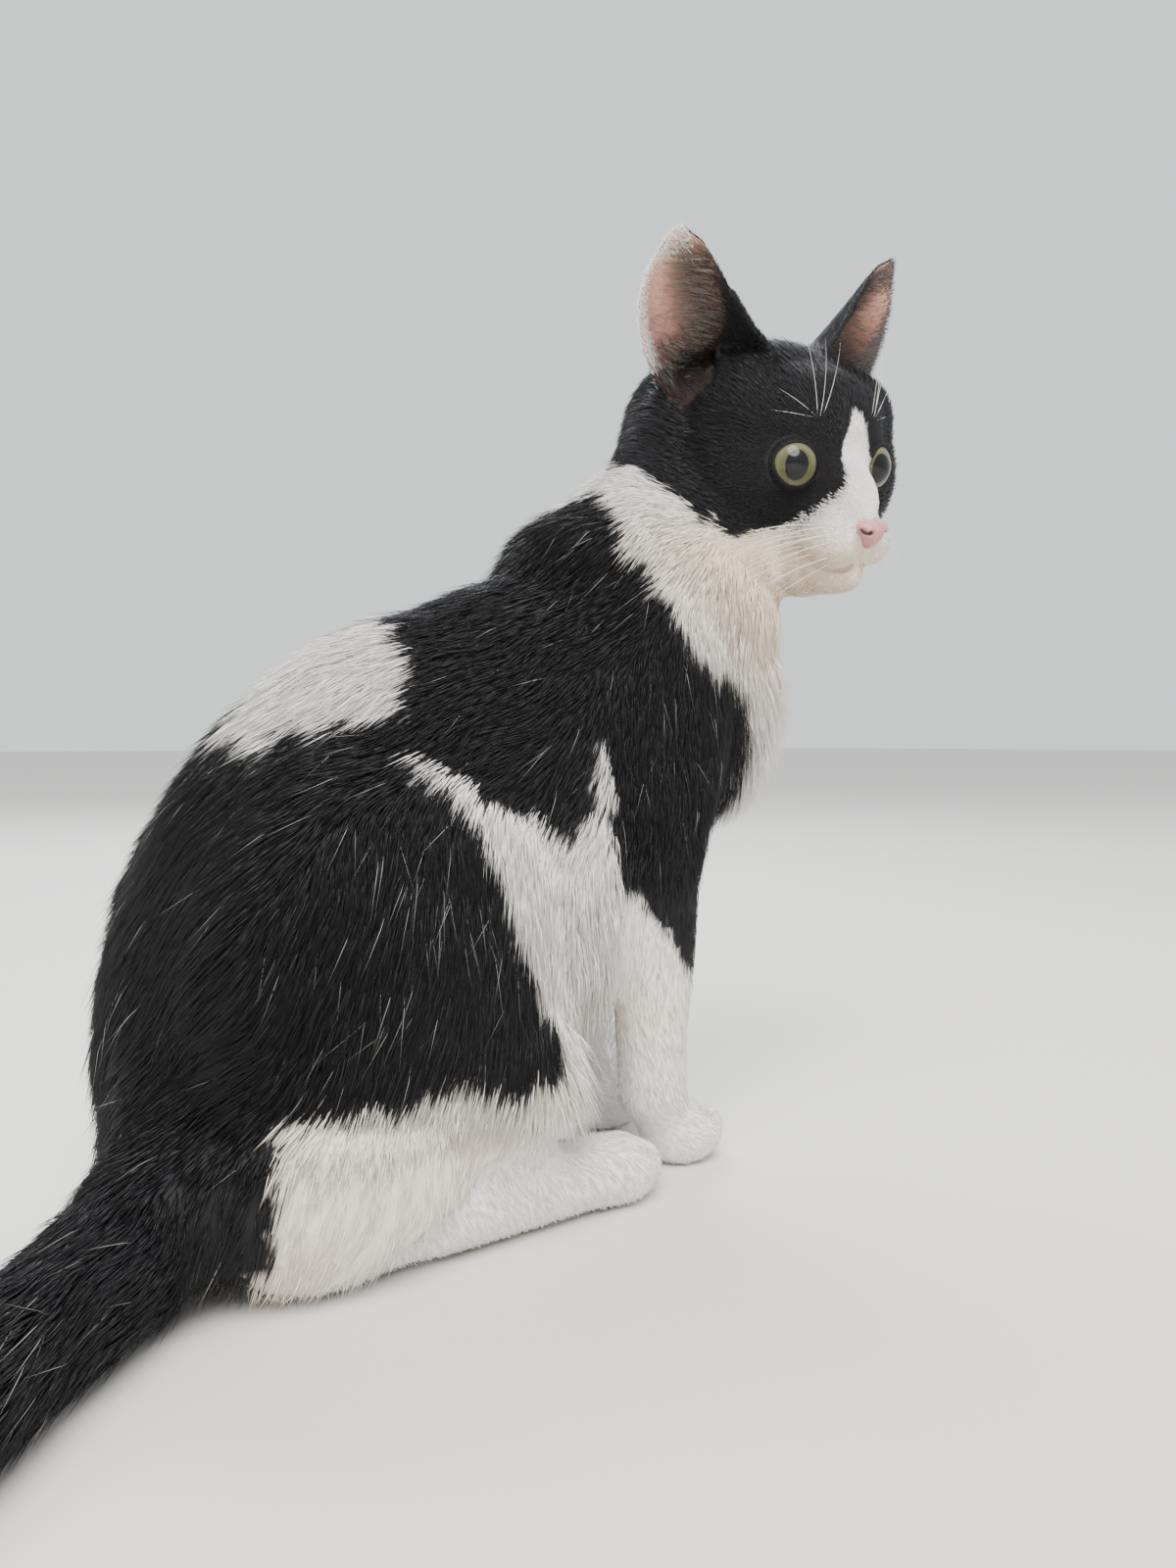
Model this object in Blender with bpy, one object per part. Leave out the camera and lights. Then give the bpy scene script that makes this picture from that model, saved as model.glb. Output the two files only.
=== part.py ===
"""A young short-haired cat that sits with its head turned to its right.

The solids have the outer form of the coat, at life size, in metres.  +X is the way the
trunk faces, +Y the cat's left and +Z up.  The whole body is built from rounded masses of
muscle and fur, fused into one mesh, and then parted by thin cuts into its named pieces.
The masses are placed from a point on the floor between the front paws; at the end the
model is moved so that its origin is under the middle of its box.
"""

import math

import bmesh
import bpy
from mathutils import Matrix, Vector

MM = 0.001
GAP = 0.3 * MM
SIDES = {"right": -1, "left": 1}
ACROSS = Vector((0, 1, 0))

# Fusing: sizes of the voxels, rounds of smoothing, and the shares of triangles kept.
BODY_VOXEL, BODY_ROUNDS, TRUNK_ROUNDS = 2.2 * MM, 20, 120
WHOLE_VOXEL, SKULL_ROUNDS, WHOLE_ROUNDS = 1.5 * MM, 40, 8
HEAD_KEEP, BODY_KEEP = 0.048, 0.38
HEAD_REACH = 60 * MM
SMOOTHING = 0.5

# The trunk's extra rounds fade in above these heights (mm), behind REAR_X and ahead of it.
REAR_X, REAR_LOW, FRONT_LOW, FADE = -45, 25, 105, 40

# The head: where the middle of the skull is, and how the head is turned, nodded and tilted.
SKULL = Vector((46.5, -20.6, 237.5)) * MM
HEAD_YAW, HEAD_PITCH, HEAD_ROLL = (math.radians(a) for a in (-92, -20, 6))
EYE_RADIUS = 9.0 * MM
EYE_CENTRE = Vector((22.5, 16.3, -0.8)) * MM
NOSE_CENTRE = Vector((47.5, 0, -16.5)) * MM
NOSE_RADII = Vector((3.8, 5.2, 4.0)) * MM

# The ears, in the head's frame and in mm: the two ends of the base, the tip, and how far the
# outer edge bows; then the cup's shape.  The left ear is turned a little more outwards.
EARS = {
    "right": ((2, -11, 31), (-10.5, -40, 12), (-12, -48, 65.5), 6),
    "left": ((2.5, 8.5, 32), (-11, 38, 13), (-12, 47.5, 65.5), 4.5),
}
EAR_DEPTH = 17 * MM
EAR_WALL = 1.8 * MM
EAR_ROWS, EAR_COLUMNS = 9, 8
EAR_SWEEP = math.radians(72)
# Share of its height that an ear starts below its base and ends below its tip; how it narrows.
EAR_SUNK, EAR_BLUNT = 0.25, 0.01
EAR_ROUND, EAR_NARROW, EAR_CLOSE = 2.6, 0.55, 0.8

# Masses of the head, in its frame and in mm: middle, radii, turn about Y; a pair if off the
# midline.
SKULL_MASSES = {
    "cranium": ((-11, 0, 6), (37, 33, 30), 0),
    "ear root": ((-16, 12, 9), (27, 25, 24), 0),
    "face": ((8, 0, -2), (25, 32, 26), 0),
    "brow": ((8, 0, 11), (24, 29, 19), 0),
    "temple": ((-2, 22, 12), (24, 18, 18), 0),
    "jaw": ((6, 0, -22), (30, 24, 18), 0),
    "cheek": ((1, 25, -8), (23, 20, 26), 0),
}
MUZZLE_MASSES = {
    "chin": ((30, 0, -34), (12, 11, 8.5), 0),
    "bridge": ((29, 0, -5), (20, 11, 10), 31),
    "muzzle": ((28, 0, -20), (18, 17, 14), 0),
    "lip": ((36, 8, -23), (11, 9.5, 9), 0),
    "throat": ((14, 0, -35), (22, 16, 11.5), 0),
}

# Masses of the body, in the cat's frame.
BODY_MASSES = {
    "breast": ((24, 0, 150), (31, 28, 42), 10),
    "scruff": ((-28, 0, 194), (30, 30, 20), -38),
    "nape": ((29, 0, 242), (33, 30, 33), 0),
    "thigh": ((-112, 31, 80), (56, 29, 58), 24),
    "knee": ((-82, 40, 44), (26, 20, 28), 20),
    "haunch": ((-128, 38, 26), (42, 21, 28), 0),
    "flank": ((-56, 20, 98), (34, 24, 52), -12),
    "shoulder": ((-12, 26, 150), (28, 15, 40), -8),
    "forepaw": ((1, 21, 8.8), (17.5, 13, 12), 0),
    "hind paw": ((-38, 36.5, 9.3), (17, 13.5, 12), 0),
}

# Trunk and neck: middle of the section (x, z), half depth along the profile, half width.
TRUNK = (
    (-148, 26, 30, 36),
    (-136, 56, 47, 44),
    (-114, 82, 61, 46),
    (-89, 112, 62, 45),
    (-60, 130, 56, 42),
    (-33, 146, 50, 38),
    (-2, 152, 42, 34),
)
NECK = (
    (-10, 162, 44, 34),
    (6, 186, 45, 34),
    (24, 208, 41, 33),
    (38, 228, 32, 31),
)

# Legs of one side: middle of the section (x, y, z), half depth and half width.
FORELEG = (
    (-12, 27, 152, 28, 14),
    (-15, 27, 124, 25, 15),
    (-18, 26, 98, 20, 15),
    (-14, 24, 72, 15, 14),
    (-14, 22, 46, 13, 13.5),
    (-12.5, 21, 24, 12.5, 13),
)
HIND_FOOT = (
    (-132, 40, 20, 15, 14),
    (-100, 38, 13, 14, 14),
    (-66, 36.5, 11, 12, 13),
    (-42, 36.5, 10.5, 11.5, 13),
)

# Tail: middle line (x, y, z) and radius.
TAIL = (
    (-148, 0, 38, 22),
    (-171, -26, 22, 20),
    (-190, -42, 16.5, 17.5),
    (-208, -58, 14.5, 16),
    (-226, -78, 13.5, 15),
    (-250, -97, 12.2, 14),
    (-280, -108, 10.8, 12.5),
    (-306, -104, 8.6, 10),
)

# Where the cuts run: a point of each plane, and the way it faces (towards the piece cut off).
NECK_TOP = Vector((40, -8, 193)) * MM, Vector((0.42, -0.22, 0.88))
NECK_FOOT = Vector((0, 0, 173)) * MM, Vector((0.43, 0, 0.90))

# Drums with their axis across the cat: middle (x, z), radii, and the distance off the midline.
THIGH_DRUM = (-104, 85), (47, 44), 30
SHOULDER_DRUM = (-14, 139), (30, 37), 20

# Blocks between two corners, for the left side; then how far the front face leans forwards
# for each step outwards, and how far its top stands back: hind toes lie beside the foreleg.
FOREARM_BLOCK = (-38, 7, 26), (25, 60, 100), (0, 0)
FOREPAW_BLOCK = (-30, 1, -5), (30, 50, 26), (0, 0)
HIND_FOOT_BLOCK = (-170, 16, -5), (-27, 75, 39), (0.61, 14)
BIG = 0.5
DRUM_DEPTH, DRUM_SIDES = 80 * MM, 28
TAIL_REACH = 45 * MM

# How finely the masses, the nose, the eyes, and the tubes and their round ends are made.
MASS_FINE, NOSE_FINE, EYE_FINE = (32, 20), (14, 8), 3
RING_SIDES, CAP_RINGS = 20, 4
STEPS = 6

SHARP = math.radians(50)

# Colours (linear) and roughness of the coat, the bare skin and the eyes.
LOOKS = {
    "black coat": ((0.012, 0.012, 0.014), 0.55),
    "white coat": ((0.80, 0.77, 0.71), 0.65),
    "nose leather": ((0.62, 0.27, 0.24), 0.45),
    "eye": ((0.30, 0.33, 0.10), 0.08),
}


def clear_scene():
    for obj in list(bpy.data.objects):
        bpy.data.objects.remove(obj)


def link(name, mesh):
    obj = bpy.data.objects.new(name, mesh)
    bpy.context.scene.collection.objects.link(obj)
    return obj


def from_bmesh(bm, name="mass"):
    mesh = bpy.data.meshes.new(name)
    bm.to_mesh(mesh)
    bm.free()
    return link(name, mesh)


def evaluated(obj, name):
    """A plain copy of obj with its modifiers applied; obj itself is removed."""
    bpy.context.view_layer.update()
    graph = bpy.context.evaluated_depsgraph_get()
    mesh = bpy.data.meshes.new_from_object(obj.evaluated_get(graph))
    bpy.data.objects.remove(obj)
    return link(name, mesh)


def copy_of(obj):
    return link("copy", obj.data.copy())


def head_frame():
    """From the head's own frame (x to the nose, y to its left, z to its crown) to the cat's."""
    return (
        Matrix.Translation(SKULL)
        @ Matrix.Rotation(HEAD_YAW, 4, "Z")
        @ Matrix.Rotation(-HEAD_PITCH, 4, "Y")
        @ Matrix.Rotation(HEAD_ROLL, 4, "X")
    )


def ellipsoid(centre, radii, turn=0, place=Matrix.Identity(4), fine=MASS_FINE):
    """A closed ball stretched to radii and turned about Y (degrees), centred at centre."""
    bm = bmesh.new()
    bmesh.ops.create_uvsphere(bm, u_segments=fine[0], v_segments=fine[1], radius=1)
    turned = Matrix.Translation(centre) @ Matrix.Rotation(math.radians(turn), 4, "Y")
    bm.transform(place @ turned @ Matrix.Diagonal((*radii, 1)))
    return from_bmesh(bm)


def ball(centre, radius, place):
    """A ball of even triangles."""
    bm = bmesh.new()
    bmesh.ops.create_icosphere(bm, subdivisions=EYE_FINE, radius=radius)
    bm.transform(place @ Matrix.Translation(centre))
    return from_bmesh(bm)


def smooth_path(points, steps=STEPS):
    """Points of a Catmull-Rom curve through the rows of points."""
    rows = [Vector(p) for p in points]
    rows = [2 * rows[0] - rows[1], *rows, 2 * rows[-1] - rows[-2]]
    out = []
    for a, b, c, d in zip(rows, rows[1:], rows[2:], rows[3:]):
        for t in (i / steps for i in range(steps)):
            bend = (2 * a - 5 * b + 4 * c - d) * t * t + (3 * b - a - 3 * c + d) * t ** 3
            out.append(b + 0.5 * ((c - a) * t + bend))
    return [*out, rows[-2]]


def tube(table):
    """A closed tube with round ends, from rows of (x, y, z, half depth, half width) in mm.

    The half width lies across the cat, or level where the path itself runs across.
    """
    centres = smooth_path([Vector(row[:3]) * MM for row in table])
    sizes = smooth_path([(row[3] * MM, row[4] * MM, 0) for row in table])
    ways = [(b - a).normalized() for a, b in zip(centres, centres[1:])]
    ways = [ways[0], *[(a + b).normalized() for a, b in zip(ways, ways[1:])], ways[-1]]
    quarter = [i * math.pi / 2 / CAP_RINGS for i in range(CAP_RINGS)]
    rings = []
    for angle in reversed(quarter[1:]):
        shrink = math.cos(angle)
        start = centres[0] - ways[0] * min(sizes[0][:2]) * math.sin(angle)
        rings.append((start, ways[0], sizes[0] * shrink))
    rings += zip(centres, ways, sizes)
    for angle in quarter[1:]:
        shrink = math.cos(angle)
        end = centres[-1] + ways[-1] * min(sizes[-1][:2]) * math.sin(angle)
        rings.append((end, ways[-1], sizes[-1] * shrink))
    bm = bmesh.new()
    loops = []
    for centre, way, (deep, wide, _) in rings:
        side = (ACROSS - way * way.dot(ACROSS)).normalized()
        up = way.cross(side)
        angles = [2 * math.pi * i / RING_SIDES for i in range(RING_SIDES)]
        loops.append([
            bm.verts.new(centre + side * wide * math.cos(t) + up * deep * math.sin(t))
            for t in angles
        ])
    for low, high in zip(loops, loops[1:]):
        for i in range(RING_SIDES):
            j = (i + 1) % RING_SIDES
            bm.faces.new((low[i], low[j], high[j], high[i]))
    for loop in (loops[0], loops[-1]):
        bm.faces.new(loop)
    bmesh.ops.recalc_face_normals(bm, faces=bm.faces)
    return from_bmesh(bm)


def mirrored(row, side):
    """A row (x, y, z, ...) put on the given side of the midline."""
    return (row[0], side * row[1], *row[2:])


def masses(table, place=Matrix.Identity(4)):
    out = []
    for centre, radii, turn in table.values():
        sides = SIDES.values() if centre[1] > 0 else (1,)
        for side in sides:
            middle = Vector(mirrored(centre, side)) * MM
            out.append(ellipsoid(middle, Vector(radii) * MM, turn, place))
    return out


def fuse(pieces, voxel, rounds):
    """The pieces as one closed mesh, made of voxels and then smoothed."""
    with bpy.context.temp_override(active_object=pieces[0], selected_editable_objects=pieces):
        bpy.ops.object.join()
    whole = pieces[0]
    remesh = whole.modifiers.new("Remesh", "REMESH")
    remesh.mode = "VOXEL"
    remesh.voxel_size = voxel
    smooth = whole.modifiers.new("Smooth", "SMOOTH")
    smooth.factor = SMOOTHING
    smooth.iterations = rounds
    return evaluated(whole, "whole")


def smoothed_trunk(body):
    """The body with its broad masses run together, and its legs, paws and tail kept."""
    group = body.vertex_groups.new(name="trunk")
    for vertex in body.data.vertices:
        x, _, z = vertex.co / MM
        low = REAR_LOW if x < REAR_X else FRONT_LOW
        weight = min(max((z - low) / FADE, 0), 1)
        group.add([vertex.index], weight, "REPLACE")
    smooth = body.modifiers.new("Smooth", "SMOOTH")
    smooth.factor = SMOOTHING
    smooth.iterations = TRUNK_ROUNDS
    smooth.vertex_group = "trunk"
    return evaluated(body, "whole")


def thinned(whole, keep, group=None):
    thin = whole.modifiers.new("Decimate", "DECIMATE")
    thin.ratio = keep
    if group:
        thin.vertex_group = group
    return evaluated(whole, "whole")


def whole_cat(place):
    """Body and head as one mesh, with larger faces on the body than on the head."""
    midline = [tube([(x, 0, z, deep, wide) for x, z, deep, wide in t]) for t in (TRUNK, NECK)]
    tail = [tube([(*row[:3], row[3], row[3]) for row in TAIL])]
    legs = [
        tube([mirrored(row, side) for row in table])
        for side in SIDES.values() for table in (FORELEG, HIND_FOOT)
    ]
    body = fuse(midline + tail + legs + masses(BODY_MASSES), BODY_VOXEL, BODY_ROUNDS)
    body = smoothed_trunk(body)
    skull = fuse(masses(SKULL_MASSES, place), WHOLE_VOXEL, SKULL_ROUNDS)
    muzzle = masses(MUZZLE_MASSES, place)
    whole = fuse([body, skull, *muzzle], WHOLE_VOXEL, WHOLE_ROUNDS)
    whole = thinned(whole, HEAD_KEEP)
    group = whole.vertex_groups.new(name="body")
    far = [v.index for v in whole.data.vertices if (v.co - SKULL).length > HEAD_REACH]
    group.add(far, 1.0, "REPLACE")
    return thinned(whole, BODY_KEEP, "body")


def combined(obj, other, operation, name="whole"):
    """obj cut by, or cut down to, other; both are used up."""
    change = obj.modifiers.new("Boolean", "BOOLEAN")
    change.operation = operation
    change.object = other
    result = evaluated(obj, name)
    bpy.data.objects.remove(other)
    return result


def split(whole, cutter, name):
    """The piece of whole inside the cutter, and the rest, which keeps a gap to it."""
    piece = combined(copy_of(whole), cutter(0), "INTERSECT", name)
    rest = combined(whole, cutter(GAP), "DIFFERENCE")
    return piece, rest


def box(low, high):
    """A box between two corners."""
    bm = bmesh.new()
    bmesh.ops.create_cube(bm, size=1)
    size = Vector(high) - Vector(low)
    bm.transform(Matrix.Translation((Vector(low) + Vector(high)) / 2) @ Matrix.Diagonal((*size, 1)))
    return from_bmesh(bm, "cutter")


def beyond(plane):
    """A cutter that holds all that lies beyond a plane."""
    point, way = plane

    def cutter(gap):
        block = box((-BIG, -BIG, -gap), (BIG, BIG, BIG))
        turn = way.normalized().to_track_quat("Z", "Y").to_matrix().to_4x4()
        block.data.transform(Matrix.Translation(point) @ turn)
        return block

    return cutter


def drum(middle, radii, inner, side):
    """A cutter with its axis across the cat, from inner (mm) off the midline outwards."""

    def cutter(gap):
        bm = bmesh.new()
        bmesh.ops.create_cone(bm, cap_ends=True, segments=DRUM_SIDES, radius1=1, radius2=1, depth=1)
        start = inner * MM - gap
        place = Vector((middle[0] * MM, side * (start + DRUM_DEPTH / 2), middle[1] * MM))
        bm.transform(
            Matrix.Translation(place)
            @ Matrix.Diagonal((radii[0] * MM + gap, DRUM_DEPTH, radii[1] * MM + gap, 1))
            @ Matrix.Rotation(math.radians(90), 4, "X")
        )
        return from_bmesh(bm, "cutter")

    return cutter


def block(low, high, slant, side):
    """A cutter between two corners in mm, given for the left side, with a slanted front."""
    lean, back = slant

    def cutter(gap):
        spread = Vector((gap, gap, gap))
        a = Vector(mirrored(low, side)) * MM
        b = Vector(mirrored(high, side)) * MM
        lows = Vector(map(min, a, b)) - spread
        highs = Vector(map(max, a, b)) + spread
        cut = box(lows, highs)
        inner = min(abs(lows.y), abs(highs.y))
        for vertex in cut.data.vertices:
            if vertex.co.x > (lows.x + highs.x) / 2:
                rise = (vertex.co.z - lows.z) / (highs.z - lows.z)
                vertex.co.x += lean * (abs(vertex.co.y) - inner) - back * MM * rise
        return cut

    return cutter


def tail_cutter(row, reach=BIG):
    """All of the tail that lies past the middle of two rows of its table."""
    a, b = (Vector(TAIL[i][:3]) * MM for i in (row, row + 1))
    turn = Matrix.Rotation(math.atan2(b.y - a.y, b.x - a.x), 4, "Z")

    def cutter(gap):
        long = box((-gap, -reach, -reach), (BIG, reach, reach))
        long.data.transform(Matrix.Translation((a + b) / 2) @ turn)
        return long

    return cutter


def ear(side_name, place):
    """A thin cup of skin and fur, with round tip, that opens forwards and outwards."""
    medial, lateral, tip = (Vector(p) * MM for p in EARS[side_name][:3])
    widest, side = EARS[side_name][3] * MM, SIDES[side_name]
    middle = (medial + lateral) / 2
    half = (lateral - medial) / 2
    back = (tip - middle).cross(half).normalized() * -side
    if back.x > 0:
        back.negate()
    bm = bmesh.new()
    rows = []
    for i in range(EAR_ROWS):
        u = (1 - EAR_BLUNT + EAR_SUNK) * i / (EAR_ROWS - 1) - EAR_SUNK
        rise = max(u, 0)
        width = (1 - rise ** EAR_ROUND) ** EAR_NARROW
        depth = EAR_DEPTH * (1 - rise) ** EAR_CLOSE
        row = []
        for j in range(EAR_COLUMNS + 1):
            t = EAR_SWEEP * (2 * j / EAR_COLUMNS - 1)
            across = half * width * math.sin(t) / math.sin(EAR_SWEEP)
            behind = back * depth * (math.cos(t) - math.cos(EAR_SWEEP)) / (1 - math.cos(EAR_SWEEP))
            bow = half.normalized() * widest * 4 * rise * (1 - rise)
            row.append(bm.verts.new(middle + (tip - middle) * u + bow + across + behind))
        rows.append(row)
    for low, high in zip(rows, rows[1:]):
        for j in range(EAR_COLUMNS):
            bm.faces.new((low[j], low[j + 1], high[j + 1], high[j]))
    bm.transform(place)
    sheet = from_bmesh(bm)
    wall = sheet.modifiers.new("Solidify", "SOLIDIFY")
    wall.thickness = EAR_WALL
    wall.offset = 0
    solid = evaluated(sheet, "ear")
    bm = bmesh.new()
    bm.from_mesh(solid.data)
    bmesh.ops.recalc_face_normals(bm, faces=bm.faces)
    bm.to_mesh(solid.data)
    bm.free()
    return solid


def look_of(node):
    """What the outside of a node is mostly made of."""
    if node.startswith("eye"):
        return "eye"
    if node == "nose":
        return "nose leather"
    pale = node.startswith(("forepaw", "forearm", "hind_foot", "neck"))
    return "white coat" if pale else "black coat"


def material(name):
    colour, rough = LOOKS[name]
    mat = bpy.data.materials.get(name)
    if mat is None:
        mat = bpy.data.materials.new(name)
        mat.use_nodes = True
        shader = mat.node_tree.nodes["Principled BSDF"]
        shader.inputs["Base Color"].default_value = (*colour, 1)
        shader.inputs["Roughness"].default_value = rough
        shader.inputs["Metallic"].default_value = 0
    return mat


def grown(obj):
    """A copy of obj that stands out from it by the gap all round."""
    copy = copy_of(obj)
    out = copy.modifiers.new("Displace", "DISPLACE")
    out.strength = GAP
    out.mid_level = 0
    return evaluated(copy, "cutter")


def cut_tail(whole, nodes):
    tail, rest = split(whole, tail_cutter(1, TAIL_REACH), "tail")
    outer, nodes["tail_base"] = split(tail, tail_cutter(3), "tail")
    nodes["tail_tip"], nodes["tail_middle"] = split(outer, tail_cutter(5), "tail")
    return rest


def cut_legs(whole, nodes):
    rest = whole
    for side_name, side in SIDES.items():
        cutters = {
            "hind_foot": block(*HIND_FOOT_BLOCK, side),
            "thigh": drum(*THIGH_DRUM, side),
            "forepaw": block(*FOREPAW_BLOCK, side),
            "forearm": block(*FOREARM_BLOCK, side),
            "shoulder": drum(*SHOULDER_DRUM, side),
        }
        for name, cutter in cutters.items():
            nodes[f"{name}_{side_name}"], rest = split(rest, cutter, name)
    return rest


def dress_head(head, nodes, place):
    """Cuts the sockets and the place of the nose, and sets eyes, nose and ears in place."""
    fits = {"nose": lambda gap: ellipsoid(
        NOSE_CENTRE, NOSE_RADII + Vector((gap, gap, gap)), 0, place, NOSE_FINE
    )}
    for side_name, side in SIDES.items():
        centre = Vector(mirrored(EYE_CENTRE, side))
        fits[f"eye_{side_name}"] = lambda gap, at=centre: ball(at, EYE_RADIUS + gap, place)
    for name, make in fits.items():
        nodes[name] = make(0)
        head = combined(head, make(GAP), "DIFFERENCE")
    for side_name in SIDES:
        nodes[f"ear_{side_name}"] = combined(ear(side_name, place), grown(head), "DIFFERENCE")
    nodes["head"] = head


def centre_on_floor(nodes):
    """Moves the whole model so that its origin is under the middle of its box."""
    places = [v.co for obj in nodes.values() for v in obj.data.vertices]
    middle = [(min(p[i] for p in places) + max(p[i] for p in places)) / 2 for i in (0, 1)]
    for obj in nodes.values():
        obj.data.transform(Matrix.Translation((-middle[0], -middle[1], 0)))


def main():
    clear_scene()
    place = head_frame()
    nodes = {}
    floor = box((-BIG, -BIG, -BIG), (BIG, BIG, 0))
    whole = combined(whole_cat(place), floor, "DIFFERENCE")
    head, rest = split(whole, beyond(NECK_TOP), "head")
    nodes["neck"], rest = split(rest, beyond(NECK_FOOT), "neck")
    rest = cut_tail(rest, nodes)
    nodes["trunk"] = cut_legs(rest, nodes)
    dress_head(head, nodes, place)
    centre_on_floor(nodes)
    for name, obj in nodes.items():
        obj.name = obj.data.name = name
        obj.data.materials.clear()
        obj.data.materials.append(material(look_of(name)))
        obj.data.shade_smooth()
        obj.data.set_sharp_from_angle(angle=SHARP)


main()
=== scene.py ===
"""The cat's looks: one skin under a coat of fur tufts, eyes, nose leather and whiskers."""

import math

import bmesh
import bpy
import numpy as np
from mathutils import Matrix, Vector
from mathutils.bvhtree import BVHTree
from mathutils.kdtree import KDTree


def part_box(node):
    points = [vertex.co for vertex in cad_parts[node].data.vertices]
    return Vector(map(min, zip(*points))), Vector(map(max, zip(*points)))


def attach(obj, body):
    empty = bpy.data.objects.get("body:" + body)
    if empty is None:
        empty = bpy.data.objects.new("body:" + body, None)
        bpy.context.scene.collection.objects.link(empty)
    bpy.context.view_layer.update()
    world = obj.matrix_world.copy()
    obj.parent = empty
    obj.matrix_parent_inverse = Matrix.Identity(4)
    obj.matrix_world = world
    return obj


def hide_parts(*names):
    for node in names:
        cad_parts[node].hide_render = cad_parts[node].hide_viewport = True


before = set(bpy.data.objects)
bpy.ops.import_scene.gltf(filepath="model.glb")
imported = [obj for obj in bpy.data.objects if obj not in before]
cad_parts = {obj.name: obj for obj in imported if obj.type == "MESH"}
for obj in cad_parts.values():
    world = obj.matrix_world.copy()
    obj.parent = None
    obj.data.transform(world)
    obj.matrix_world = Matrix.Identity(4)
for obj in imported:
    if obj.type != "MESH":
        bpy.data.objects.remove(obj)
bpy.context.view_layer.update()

MM = 0.001
SIDES = {"right": -1, "left": 1}
SEED = 11
RNG = np.random.default_rng(SEED)

# The skin's mesh: voxels, how far the nodes grow to meet, how far from the skull it is fine, and
# rounds of smoothing for all of it, for the body, for the coat's values and around the eyes.
VOXEL = 0.95 * MM
MEET = 0.35 * MM
WELD = 0.001 * MM
FINE_REACH = 56 * MM
ALL_ROUNDS, BODY_ROUNDS = 4, 36
BODY_KEEP = 0.36
SPREAD_ROUNDS = 26
SOCKET_ROUNDS = 24

# The point halfway between the eyes, from the middle of the skull, and the dip from there to the
# nose; then how far the middle of the forepaws lies ahead of the body frame's origin.
EYE_AHEAD, EYE_RISE = 22.5, -0.8
NOSE_DIP = math.atan2(15.7, 25.0)
PAW_AHEAD = -3.5


def unit(v):
    return v / np.maximum(np.linalg.norm(v, axis=-1, keepdims=True), 1e-12)


def middle(node):
    low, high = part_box(node)
    return np.array((low + high) / 2)


def smoothstep(low, high, x):
    """0 where x is at low and 1 where it is at high, smooth between; low may be the larger."""
    t = np.clip((x - low) / (high - low), 0, 1)
    return t * t * (3 - 2 * t)


def dot(a, b):
    return np.sum(a * b, axis=-1)


def mixed(a, b, share):
    """Rows that go from a to b as share goes from 0 to 1."""
    return np.array(a) + (np.array(b) - a) * share[:, None]


# ---------------------------------------------------------------- the cat's own frames

BETWEEN_EYES = (middle("eye_left") + middle("eye_right")) / 2
HEAD_LEFT = unit(middle("eye_left") - middle("eye_right"))
TO_NOSE = unit(middle("nose") - BETWEEN_EYES)
OVER_NOSE = np.cross(TO_NOSE, HEAD_LEFT)
HEAD_AHEAD = math.cos(NOSE_DIP) * TO_NOSE + math.sin(NOSE_DIP) * OVER_NOSE
HEAD_UP = math.cos(NOSE_DIP) * OVER_NOSE - math.sin(NOSE_DIP) * TO_NOSE
HEAD_AXES = np.array([HEAD_AHEAD, HEAD_LEFT, HEAD_UP])
SKULL = BETWEEN_EYES - (EYE_AHEAD * HEAD_AHEAD + EYE_RISE * HEAD_UP) * MM

BODY_ORIGIN = (middle("forepaw_left") + middle("forepaw_right")) / 2
BODY_ORIGIN = np.array([BODY_ORIGIN[0] - PAW_AHEAD * MM, BODY_ORIGIN[1], 0])


def in_head(points):
    """Points in the head's frame, in mm: ahead, to its left, and up."""
    return (points - SKULL) @ HEAD_AXES.T / MM


def from_head(points):
    return SKULL + np.asarray(points, float) @ HEAD_AXES * MM


def head_way(way):
    return np.asarray(way, float) @ HEAD_AXES


def in_body(points):
    """Points in the body's frame, in mm: ahead, to its left, and up from the floor."""
    return (points - BODY_ORIGIN) / MM


# ---------------------------------------------------------------- the coat, node by node

# For each kind of node: depth of the coat, length and width of a tuft (mm), and how steeply it
# leaves the skin (degrees).
DEPTH, LENGTH, WIDTH, RISE = range(4)
COATS = {
    "head": (1.2, 5.6, 0.28, 14),
    "ear": (0.4, 3.0, 0.26, 10),
    "eye": (0.9, 3.0, 0.24, 12),
    "nose": (0.6, 3.0, 0.24, 12),
    "neck": (2.0, 11.5, 0.34, 17),
    "trunk": (2.4, 12.5, 0.36, 14),
    "shoulder": (2.0, 10.0, 0.34, 13),
    "thigh": (2.2, 12.5, 0.36, 13),
    "forearm": (1.5, 5.2, 0.26, 10),
    "forepaw": (0.9, 3.2, 0.22, 10),
    "hind_foot": (1.1, 3.8, 0.24, 10),
    "tail_base": (2.8, 12.0, 0.38, 16),
    "tail_middle": (2.8, 11.0, 0.36, 17),
    "tail_tip": (2.3, 9.0, 0.34, 17),
}
# The coat of the face is shorter near the nose, the eyes and the mouth: distance (mm) and share
# of length; a tuft's width follows the same share to a lower power.
FACE = ("head", "eye", "nose")
FROM_NOSE = ((0, 10, 20, 34, 48, 60), (0.22, 0.28, 0.42, 0.68, 0.95, 1.3))
FROM_EYE = ((9, 16, 26), (0.45, 0.75, 1.0))
FROM_MOUTH = ((1.2, 5.5), (0.3, 1.0))
WIDTH_POWER = 0.35
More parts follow.
